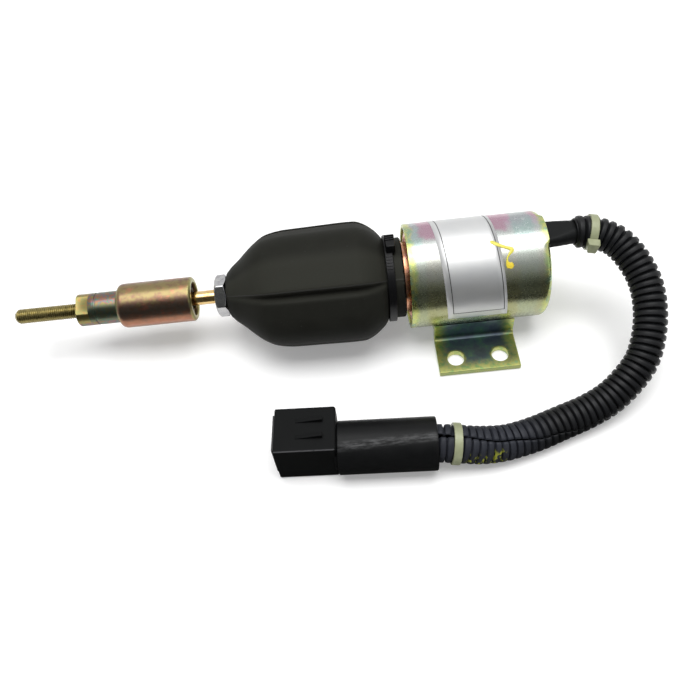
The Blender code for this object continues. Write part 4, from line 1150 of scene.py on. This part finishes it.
def make_boot_tie(finish):
    """Black cable tie round the cuff, its ridged head near the top."""
    centre = place(TIE_ALONG, 0, 0)
    ahead = Vector((1, 0, 0))
    side = Vector((0, 1, 0))
    up = Vector((0, 0, 1))
    band = tie_band("boot_tie_band", finish, centre, ahead, side, up,
                    CUFF_RADIUS + TIE_LIFT, TIE_WIDTH)
    dress(band, "solenoid", "boot_tie")
    middle = place(TIE_HEAD_ALONG, 0, 0)
    out, round_way = turned(side, up, TIE_HEAD_TURN)
    head = tie_head("boot_tie_head", finish,
                    middle + out * (CUFF_RADIUS + TIE_HEAD_LIFT) * MM, ahead, round_way, out,
                    TIE_HEAD_SIZE, 0.12, ridges=3)
    head.parent = band
    stub = solid_box("boot_tie_stub", middle + out * (CUFF_RADIUS + TIE_STUB_LIFT) * MM
                     - round_way * TIE_STUB_REACH * MM, TIE_STUB_SIZE, finish,
                     Matrix((ahead, round_way, out)).transposed().to_4x4())
    round_edges(stub, 0.3)
    stub.parent = band
    for number in range(TIE_TEETH):
        out, round_way = turned(side, up, TIE_TEETH_START + number * TIE_TEETH_PITCH)
        tooth = solid_box("boot_tie_tooth_%d" % (number + 1), centre
                          + out * (CUFF_RADIUS + TIE_LIFT + TIE_BAND) * MM, TIE_TOOTH_SIZE,
                          finish,
                          Matrix((ahead, round_way, out)).transposed().to_4x4())
        round_edges(tooth, 0.12, 2)
        tooth.parent = band


def make_nut(finish):
    """Jam nut: chamfered hexagon with countersunk ends."""
    corner = NUT_FLATS / 2 / math.cos(math.radians(30))
    slope = math.tan(math.radians(30))

    def hexagon(along, turn):
        away = (turn - NUT_TURN) % 60 - 30
        flat = NUT_FLATS / 2 / math.cos(math.radians(away))
        edge = min(along - NUT_FRONT, NUT_BACK - along)
        cone = NUT_FLATS / 2 * 0.96 + max(edge, 0) / slope
        return min(flat, cone, corner - 0.12)

    ends = [0.0, 0.1, 0.2, 0.3, 0.42, 0.55, 0.7, 0.9, 1.3, 2.0]
    outline = [(NUT_FRONT + e, 20.0) for e in ends] + [(NUT_BACK - e, 20.0) for e in ends[::-1]]
    bore = ROD_RADIUS + 0.3
    outline = [(NUT_BACK - 0.6, bore), (NUT_FRONT + 0.6, bore), (NUT_FRONT, bore + 0.7)] + outline
    outline.append((NUT_BACK, bore + 0.7))
    piece = lathe("hex_nut", outline, finish, 180, wrap=True, limit=hexagon)
    dress(piece, "plunger", "jam_nut")


def make_rod(finish):
    """Rod from its head inside the link to the plunger."""
    outline = soften([(ROD_FRONT, 0.0), (ROD_FRONT, ROD_RADIUS, 0.6),
                      (ROD_BACK, ROD_RADIUS, 0.3), (ROD_BACK, 0.0)], 0.3, closed=False)
    dress(lathe("plunger_rod", outline, finish, 48), "plunger", "rod")


def make_link(finish, stud_finish):
    """Link housing with wrench flats, a turned groove and an open rear end, and its stud."""
    def flats(along, turn):
        if along > NECK_FRONT + FLATS_LENGTH:
            return 100.0
        face = abs(math.cos(math.radians(turn - FLATS_TURN)))
        return FLATS_WIDTH / 2 / max(face, 0.01)

    end = NECK_FRONT + FLATS_LENGTH
    outline = soften([
        (STUD_SEAT, 0.0), (STUD_SEAT, 3.4), (NECK_FRONT, 3.4, 0.3), (NECK_FRONT, NECK_RADIUS, 0.45),
        (end, NECK_RADIUS, 0.0), (end + 0.01, NECK_RADIUS, 0.0),
        (NECK_GROOVE, NECK_RADIUS, 0.15), (NECK_GROOVE, NECK_RADIUS - 0.4, 0.1),
        (NECK_GROOVE + 0.8, NECK_RADIUS - 0.4, 0.1), (NECK_GROOVE + 0.8, NECK_RADIUS, 0.15),
        (LINK_FRONT - 0.3, NECK_RADIUS, 0.4), (LINK_FRONT, NECK_RADIUS + 0.3, 0.3),
        (LINK_FRONT, LINK_RADIUS - 2.2, 0.0), (LINK_FRONT + 0.35, LINK_RADIUS - 1.0, 0.4),
        (LINK_FRONT + 1.0, LINK_RADIUS - 0.35, 0.4), (LINK_FRONT + 2.2, LINK_RADIUS, 0.4),
        (-110.0, LINK_RADIUS, 0.0), (-100.0, LINK_RADIUS, 0.0),
        (LINK_BACK - 0.8, LINK_RADIUS, 0.3), (LINK_BACK, LINK_RADIUS - 0.8, 0.3),
        (LINK_BACK, LINK_BORE, 0.3), (RING_GROOVE[1], LINK_BORE, 0.1),
        (RING_GROOVE[1], RING_GROOVE_RADIUS, 0.1), (RING_GROOVE[0], RING_GROOVE_RADIUS, 0.1),
        (RING_GROOVE[0], LINK_BORE, 0.1), (LINK_FLOOR, LINK_BORE, 0.3), (LINK_FLOOR, 0.0),
    ], 0.2, closed=False)
    housing = lathe("link_body", outline, finish, 120, limit=flats)
    dress(housing, "link", "link_housing")
    dress(make_stud(stud_finish), "link", "link_stud")


def make_stud(finish):
    """Threaded stud: the screw thread is cut into its length outside the neck."""
    samples = 10
    bare = NECK_FRONT + 0.4
    chamfer = 1.4
    count = int((bare - STUD_TIP) / THREAD_PITCH * samples)
    steps = 36
    rings = [[place(STUD_TIP, 0, 0)], circle_ring(STUD_TIP, STUD_RADIUS * 0.55, steps)]
    for k in range(1, count):
        along = STUD_TIP + k * THREAD_PITCH / samples
        edge = STUD_RADIUS * 0.62 + (along - STUD_TIP) / chamfer * STUD_RADIUS * 0.38
        ring = []
        for i in range(steps):
            phase = ((along - STUD_TIP) / THREAD_PITCH + i / steps) % 1
            tooth = min(max(abs(phase - 0.5) * 2.5 - 0.12, 0.0), 1.0)
            ring.append(place(along, min(STUD_RADIUS - THREAD_DEPTH * tooth, edge),
                              360 * i / steps))
        rings.append(ring)
    rings += [circle_ring(bare, STUD_RADIUS - 0.3, steps),
              circle_ring(STUD_BACK, STUD_RADIUS, steps), [place(STUD_BACK, 0, 0)]]
    return loft("stud_thread", rings, finish)


def bracket_zinc():
    """Green-grey zinc on the bracket, yellow towards its cut edges and round its holes, with painted
    shade on its outer edge faces.
    """
    finish = Finish("bracket_yellow_zinc", roughness=0.24, metallic=1.0)
    drift = finish.noise(5.0, 3.0, 0.65)
    grain = finish.noise(1.2, 3.0, 0.6) - 0.5
    flat = finish.ramp(drift, (
        (0.30, (0.12, 0.15, 0.19)), (0.48, (0.15, 0.19, 0.22)), (0.60, (0.15, 0.25, 0.22)),
        (0.75, (0.20, 0.32, 0.19))))
    edge_colour = finish.ramp(finish.noise(2.5, 2.0), (
        (0.35, (0.26, 0.42, 0.16)), (0.55, (0.52, 0.50, 0.17)), (0.75, (0.24, 0.46, 0.24))))
    rim = finish.step(abs(finish.across) + grain * 3, BRACKET_HALF - 6.5, BRACKET_HALF - 1.2)
    middle = (BRACKET_FRONT + BRACKET_BACK) / 2
    half = (BRACKET_BACK - BRACKET_FRONT) / 2
    side = finish.step(abs(finish.along - middle) + grain * 3, half - 6.5, half - 0.6)
    near = 1 - (1 - rim) * (1 - side)
    for hole in HOLE_ALONG:
        gap = ((finish.along - hole) ** 2 + (abs(finish.across) - HOLE_ACROSS) ** 2) ** 0.5
        near = 1 - (1 - near) * finish.step(gap + grain, HOLE_RADIUS + 0.2, HOLE_RADIUS + 1.4)
    # Painted shade: the flange's outer edge faces are darker, as they show dark in reflection.
    face = finish.step(abs(finish.across), BRACKET_HALF - 0.35, BRACKET_HALF - 0.1)
    skin = finish.blend(near, flat, edge_colour)
    finish.set("Base Color", finish.blend(face * 0.8, skin, (0.20, 0.23, 0.09)))
    finish.set("Roughness", 0.25 + drift * 0.14)
    finish.bump(finish.noise(0.8, 3.0, 0.6) + drift * 2.0, 0.3, 0.02)
    return finish


def make_bracket():
    """Folded sheet: a cradle under the can, two legs and two flanges with two holes each."""
    finish = bracket_zinc()
    cradle = CAN_RADIUS + 0.3
    under = cradle + SHEET
    inner_leg = LEG_HALF - SHEET
    outer_bend = BEND_RADIUS + SHEET
    rise = AXIS_Z / MM
    lean = math.asin(LEG_HALF / cradle)
    inner_lean = math.asin(inner_leg / under)
    steps = 24
    half = [(cradle * math.sin(lean * i / steps), rise - cradle * math.cos(lean * i / steps))
            for i in range(steps + 1)]
    bend = 10
    for i in range(bend + 1):
        turn = math.pi + math.pi / 2 * i / bend
        half.append((LEG_HALF + BEND_RADIUS + BEND_RADIUS * math.cos(turn),
                     SHEET + BEND_RADIUS + BEND_RADIUS * math.sin(turn)))
    half += [(BRACKET_HALF, SHEET), (BRACKET_HALF, 0.0)]
    for i in range(bend + 1):
        turn = 1.5 * math.pi - math.pi / 2 * i / bend
        half.append((inner_leg + outer_bend + outer_bend * math.cos(turn),
                     outer_bend + outer_bend * math.sin(turn)))
    half += [(under * math.sin(inner_lean * i / steps),
              rise - under * math.cos(inner_lean * i / steps)) for i in range(steps, -1, -1)]
    whole = half + [(-y, z) for y, z in half[::-1]][1:-1]
    rings = [[Vector((RIM_X + along * MM, y * MM, z * MM)) for y, z in whole]
             for along in (BRACKET_FRONT, BRACKET_BACK)]
    piece = prism("base_bracket", rings, finish)
    for along in HOLE_ALONG:
        for side in (-1, 1):
            bm = bmesh.new()
            spot = Vector((RIM_X + along * MM, side * HOLE_ACROSS * MM, SHEET / 2 * MM))
            bmesh.ops.create_cone(bm, cap_ends=True, segments=64, radius1=HOLE_RADIUS * MM,
                                  radius2=HOLE_RADIUS * MM, depth=3 * SHEET * MM,
                                  matrix=Matrix.Translation(spot))
            cut(piece, finish_mesh("hole_cutter", bm, finish))
    round_edges(piece, 0.5, 3, 40)
    dress(piece, "solenoid", "bracket")


def route_frames(points):
    """For each point: its place, the way ahead, and the two ways across it. The first of
    these turns with the side that faces up and forward."""
    facing = Vector((0, -0.59, 0.807))
    frames = []
    for index, spot in enumerate(points):
        ahead = (points[min(index + 1, len(points) - 1)] - points[max(index - 1, 0)]).normalized()
        front = (facing - ahead * facing.dot(ahead)).normalized()
        frames.append((spot, ahead, front, ahead.cross(front)))
    return frames


def spaced(points, spacing):
    """Places at even distances along a fine route, and the distance of each."""
    places = [(0.0, points[0])]
    travelled = 0.0
    for before, after in zip(points, points[1:]):
        length = (after - before).length
        while places[-1][0] + spacing <= travelled + length:
            share = (places[-1][0] + spacing - travelled) / length
            places.append((places[-1][0] + spacing, before + (after - before) * share))
        travelled += length
    return places, travelled


def conduit_plastic():
    """Black corrugated plastic, dusty grey near the plug, with specks of yellow paint."""
    finish = Finish("conduit_plastic", roughness=0.42, Specular_IOR_Level=0.20)
    cloud = finish.noise(6.0, 3.0, 0.6)
    dusty = 1 - finish.step(finish.along, 28.0, 52.0)
    near = dusty * finish.step(finish.height * -1, -2.0, 12.0)
    clean = finish.blend(cloud, (0.0045, 0.0048, 0.0054), (0.0085, 0.009, 0.010))
    dust = finish.blend(cloud, (0.018, 0.020, 0.028), (0.036, 0.039, 0.050))
    colour = finish.blend(near * 0.75, clean, dust)
    spots = finish.step(finish.noise(1.8, 3.0, 0.6, finish.stretched((1.2, 1.0, 0.7))), 0.52, 0.62)
    where = finish.band(finish.along, 14.5, 27.0, 2.5) * finish.band(
        finish.height, -20.5, -15.0, 1.5) * (1 - finish.step(finish.across, -77.5, -75.5))
    finish.set("Base Color", finish.blend(spots * where * 0.8, colour, (0.36, 0.38, 0.03)))
    finish.set("Roughness", 0.36 + cloud * 0.16 + near * 0.1)
    finish.bump(finish.noise(0.5, 3.0, 0.6) + cloud, 0.3, 0.02)
    return finish


def rib_radius(distance):
    """Radius of the corrugated wall at a distance along it: flat crests, round roots."""
    phase = distance / RIB_PITCH % 1
    crest = 1 - abs(phase - 0.5) * 2
    return CONDUIT_ROOT + (CONDUIT_RADIUS - CONDUIT_ROOT) * smoothstep(0.34, 0.54, crest)


def make_conduit(finishes):
    """Split corrugated conduit, its wires, the flat sleeve before it and the ties on it."""
    route = [(x + dx, y + dy, z) for (x, y, z), (dx, dy) in zip(CONDUIT_ROUTE, CONDUIT_SWAY)]
    fine = [Vector((RIM_X + x * MM, y * MM, z * MM)) for x, y, z in smooth_route(route, ROUTE_STEPS)]
    places, length = spaced(fine, RIB_PITCH * MM / RIB_STEPS)
    places = [(distance, spot) for distance, spot in places if distance > CONDUIT_START * MM]
    frames = route_frames([spot for _, spot in places])
    verts = []
    for (distance, _), (spot, _, front, side) in zip(places, frames):
        share = distance / length
        slit = math.radians(between(SLIT_TURNS, share)[0])
        gap = math.radians(SLIT_HALF * (0.5 + 1.2 * smoothstep(0.88, 0.99, share)))
        shift = RIB_PITCH * 0.42 * smoothstep(0.70, 0.92, share)
        for i in range(CONDUIT_STEPS + 1):
            way = i / CONDUIT_STEPS
            turn = slit + gap + (2 * math.pi - 2 * gap) * way
            slip = shift * (way - 0.5)
            radius = rib_radius(distance / MM + slip) * between(CONDUIT_GIRTH, share)[0] * MM
            verts.append(spot + (front * math.cos(turn) + side * math.sin(turn)) * radius)
    row = CONDUIT_STEPS + 1
    faces = []
    for r in range(len(places) - 1):
        for c in range(CONDUIT_STEPS):
            a = r * row + c
            faces.append((a, a + row, a + row + 1, a + 1))
    bm = bmesh.new()
    made = [bm.verts.new(v) for v in verts]
    for face in faces:
        bm.faces.new([made[i] for i in face])
    piece = finish_mesh("corrugated_conduit", bm, conduit_plastic())
    wall = piece.modifiers.new("wall", "SOLIDIFY")
    wall.thickness = CONDUIT_WALL * MM
    wall.offset = -1
    piece.data.set_sharp_from_angle(angle=math.radians(40))
    dress(piece, "solenoid", "conduit")
    riders = make_lead_pieces(finishes, fine, frames, places)
    path = fine[::11] + [fine[-1]]
    return piece, path, length, riders


def make_lead_pieces(finishes, fine, frames, places):
    """Wires inside the conduit, the flat sleeve and both natural nylon ties."""
    riders = []
    sleeve = make_lead_sleeve(finishes["lead_sleeve"])
    riders.append(sleeve)
    for number in range(3):
        rings = []
        for (distance, _), (spot, _, front, side) in list(zip(places, frames))[::6]:
            out, _ = turned(front, side, 360 * (number / 3 + distance / MM / LOOM_TWIST))
            rings.append(ring_about(spot + out * LOOM_PITCH * MM, front, side,
                                    LOOM_WIRE_RADIUS, 10))
        wire = loft("loom_wire_%d" % (number + 1), capped(rings), finishes["insulation"])
        dress(wire, "solenoid")
        riders.append(wire)
    nylon = natural_nylon()
    for name, share, head, taper in (("upper", UPPER_TIE_SHARE, UPPER_TIE_HEAD, 0.28),
                                     ("lower", LOWER_TIE_SHARE, LOWER_TIE_HEAD, 0.2)):
        index = round(share * (ROUTE_STEPS - 1))
        ahead = (fine[index + 1] - fine[index - 1]).normalized()
        side = ahead.cross(Vector((0, 0, -1))).normalized()
        up = ahead.cross(side)
        up = up if up.z > 0 else -up
        girth = CONDUIT_RADIUS * between(CONDUIT_GIRTH, share)[0]
        band = tie_band("nylon_tie_" + name, nylon, fine[index], ahead, side, up,
                        girth + NYLON_LIFT, TIE_WIDTH)
        dress(band, "solenoid", "conduit_tie_" + name)
        out, round_way = turned(side, up, head)
        block = tie_head("nylon_head_" + name, nylon,
                         fine[index] + out * (girth + NYLON_HEAD_LIFT) * MM, ahead,
                         round_way, out, NYLON_HEAD_SIZE, taper)
        block.parent = band
        riders += [band, block]
    return riders


def natural_nylon():
    """Undyed nylon of the two light ties: milky, faintly green-yellow."""
    finish = Finish("natural_nylon", (0.36, 0.38, 0.24), 0.36)
    cloud = finish.noise(3.0, 2.0)
    finish.set("Base Color", finish.blend(cloud, (0.24, 0.26, 0.15), (0.35, 0.37, 0.23)))
    finish.bump(finish.noise(0.6, 2.0) + cloud, 0.25, 0.02)
    return finish


def make_lead_sleeve(finish):
    """Flat sleeve out of the can's window; it swells a little into the conduit."""
    stations = ((50.5, 12.0, 5.0, 1.6), (57.0, 12.0, 5.0, 1.7), (61.0, 11.6, 5.6, 2.2),
                (64.5, 11.0, 6.6, 3.0), (67.5, 10.2, 7.4, 3.5), (69.5, 9.8, 7.6, 3.7))
    rings = []
    steps = 24
    for i in range(steps + 1):
        along = stations[0][0] + (stations[-1][0] - stations[0][0]) * i / steps
        width, height, corner = between(stations, along)
        rings.append([Vector((RIM_X + along * MM, y * MM, AXIS_Z + (SLEEVE_LIFT + z) * MM))
                      for y, z in rounded_box(width, height, corner)])
    piece = crisp(loft("flat_sleeve", capped(rings), finish))
    return dress(piece, "solenoid", "lead_sleeve")


PLUG_FRAME = Matrix.Translation((RIM_X + PLUG_PLACE[0] * MM, PLUG_PLACE[1] * MM,
                                 PLUG_PLACE[2] * MM)) @ Matrix.Rotation(
                                     math.radians(PLUG_YAW), 4, "Z")


def plug_spot(x, y, z):
    """A point in the plug's own millimetres, in the frame."""
    return PLUG_FRAME @ (Vector((x, y, z)) * MM)


def plug_rings(stations):
    """Rings of rounded boxes across the plug: place, width, height and corner of each."""
    return [[plug_spot(x, y + PLUG_OFFSET, z + PLUG_MIDDLE)
             for y, z in rounded_box(w, h, c)] for x, w, h, c in stations]


def make_plug(finishes):
    """Plug housing with socket, rim and latch ramps, its spigot and its round sleeve."""
    finish = finishes["plug"]
    w, h = PLUG_WIDTH, PLUG_HEIGHT
    inner_w = w - 2 * PLUG_WALL
    inner_h = h - 2 * PLUG_WALL
    front = -PLUG_LENGTH
    floor = front + SOCKET_DEPTH
    rings = plug_rings((
        (0.0, 8.0, 8.0, 1.0), (0.0, w - 1.6, h - 1.6, 0.8), (-0.15, w - 0.7, h - 0.7, 0.8),
        (-0.5, w - 0.2, h - 0.2, 0.8), (-0.9, w, h, 0.8), (-8.0, w, h, 0.8),
        (-16.0, w, h, 0.8), (front + 0.5, w, h, 0.8), (front + 0.15, w - 0.2, h - 0.2, 0.8),
        (front, w - 0.7, h - 0.7, 0.8), (front, inner_w + 0.4, inner_h + 0.4, 0.7),
        (front + 0.25, inner_w, inner_h, 0.6), (floor, inner_w, inner_h, 0.6),
        (floor, 6.0, 6.0, 0.5)))
    back = [plug_spot(0, PLUG_OFFSET, PLUG_MIDDLE)]
    deep = [plug_spot(floor, PLUG_OFFSET, PLUG_MIDDLE)]
    housing = loft("plug_body", [back] + rings + [deep], finish)
    top = PLUG_MIDDLE + h / 2
    for side in (-1, 1):
        y = PLUG_OFFSET + side * RAMP_PITCH / 2
        back_end = -RAMP_PLACE
        profile = [(back_end - RAMP_LENGTH, -0.6), (back_end, -0.6), (back_end, RAMP_HEIGHT),
                   (back_end - 0.6, RAMP_HEIGHT), (back_end - RAMP_LENGTH, 0.25)]
        sheets = [[plug_spot(x, y + s * RAMP_WIDTH / 2, top + z) for x, z in profile]
                  for s in (-1, 1)]
        cut(housing, prism("ramp", sheets, finish), "UNION")
    round_edges(housing, 0.18, 2, 50)
    dress(housing, "solenoid", "plug_housing")
    spigot_outline = soften([(-1.0, 0.0), (-1.0, SPIGOT_RADIUS), (SPIGOT_LENGTH, SPIGOT_RADIUS),
                             (SPIGOT_LENGTH, 0.0)], 0.3, closed=False)
    spigot = plug_lathe("plug_spigot", spigot_outline, finish)
    spigot.parent = housing
    bore = SPIGOT_RADIUS + 0.3
    outline = soften([
        (0.3, bore, 0.2), (0.3, SLEEVE_RADIUS, 0.5), (12.0, SLEEVE_RADIUS, 0.0),
        (24.0, SLEEVE_RADIUS, 0.0), (SLEEVE_END, SLEEVE_RADIUS, 0.9),
        (SLEEVE_END, MOUTH_RADIUS, 0.4), (SLEEVE_END - MOUTH_DEPTH, MOUTH_RADIUS, 0.3),
        (SLEEVE_END - MOUTH_DEPTH - 1.8, bore, 0.3)], 0.3)
    sleeve = plug_lathe("plug_boot", outline, sleeve_plastic(), wrap=True)
    dress(sleeve, "solenoid", "plug_sleeve")
    return [housing, spigot, sleeve]


def plug_lathe(name, outline, finish, wrap=False, steps=96):
    """Turn (x, radius) points about the plug's axis."""
    rings = []
    for x, radius in outline:
        rings.append([plug_spot(x, radius * math.cos(2 * math.pi * i / steps),
                                radius * math.sin(2 * math.pi * i / steps))
                      for i in range(steps if radius else 1)])
    return crisp(loft(name, rings, finish, wrap))


def sleeve_plastic():
    """Black shrink sleeve with a greyish streak along the side that faces up: a painted highlight.
    """
    finish = Finish("plug_sleeve_plastic", roughness=0.4, Specular_IOR_Level=0.12)
    cloud = finish.noise(5.0, 3.0, 0.6)
    streak = finish.noise(1.0, 3.0, 0.65, finish.stretched((0.22, 1.0, 1.0)))
    # Painted highlight: a greyish streak along the upper near side of the sleeve, where light would
    # glint.
    ridge = finish.band(finish.across, -75.4, -74.6, 1.9) * finish.step(finish.height, -12, -9)
    painted_highlight = finish.step(streak, 0.30, 0.78) * ridge
    base = finish.blend(cloud, (0.0035, 0.0038, 0.004), (0.007, 0.0073, 0.0076))
    finish.set("Base Color", finish.blend(painted_highlight * 0.9, base, (0.085, 0.086, 0.088)))
    finish.set("Roughness", 0.34 + cloud * 0.14 + painted_highlight * 0.12)
    finish.bump(finish.noise(0.7, 3.0, 0.6) + streak * 2.0, 0.3, 0.03)
    return finish


def spring_piece(name, node, finish, start, end, radius, wire, turns, back_body, front_body):
    """Helical spring with closed ends, between its start and its end."""
    low = start + wire / 2
    high = end - wire / 2
    per_turn = 40
    points = []
    for index in range(turns * per_turn + 1):
        turn = index / per_turn
        if turn < 1:
            along = low + wire * turn
        elif turn > turns - 1:
            along = high - wire * (turns - turn)
        else:
            along = low + wire + (high - low - 2 * wire) * (turn - 1) / (turns - 2)
        points.append(place(along, radius, 360 * turn))
    axis = Vector((1, 0, 0))
    rings = []
    for index, spot in enumerate(points):
        ahead = (points[min(index + 1, len(points) - 1)] - points[max(index - 1, 0)]).normalized()
        front = (axis - ahead * axis.dot(ahead)).normalized()
        side = ahead.cross(front)
        rings.append(ring_about(spot, front, side, wire / 2, 12))
    piece = loft(name, capped(rings), finish)
    place(end, 0, 0)
    place(start, 0, 0)
    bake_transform(piece)
    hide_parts(node)


def make_springs(finish):
    """The return spring in the boot and the overtravel spring in the link."""
    spring_piece("boot_spring", "return_spring", finish, *RETURN_SPRING, "solenoid", "plunger")
    spring_piece("overtravel_spring", "link_spring", finish, *LINK_SPRING, "plunger", "link")


def dress_inner_nodes(finishes):
    """Procedural finishes for the CAD nodes that show as they are."""
    for finish, nodes in {
        "steel": ("plunger", "back_pole", "rod_head", "link_washer"),
        "nut": ("spring_retainer",),
        "spring": ("snap_ring",),
        "brass": ("guide_tube",),
        "bobbin": ("coil_bobbin",),
        "wire": ("pull_winding", "hold_winding"),
        "seal": ("plug_seal",),
        "tin": ("plug_terminal_1", "plug_terminal_2", "plug_terminal_3"),
        "insulation": ("lead_wire_1", "lead_wire_2", "lead_wire_3"),
    }.items():
        for node in nodes:
            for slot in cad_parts[node].material_slots:
                slot.material = finishes[finish].material


make_camera()
make_floor()
make_dark_card()
make_lamps()
FINISHES = make_finishes()
conduit, conduit_path, conduit_length, riders = make_conduit(FINISHES)
riders += make_plug(FINISHES)
riders + [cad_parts["plug_seal"]]
make_can(FINISHES["can"])
make_label()
make_paint_mark()
make_front_plate(FINISHES["plate"])
make_boot(FINISHES["boot"])
make_boot_tie(FINISHES["black_tie"])
make_nut(FINISHES["nut"])
make_rod(FINISHES["rod"])
make_link(FINISHES["link"], FINISHES["stud"])
make_bracket()
make_springs(FINISHES["spring"])
dress_inner_nodes(FINISHES)
bpy.context.scene.view_settings.view_transform = "Standard"
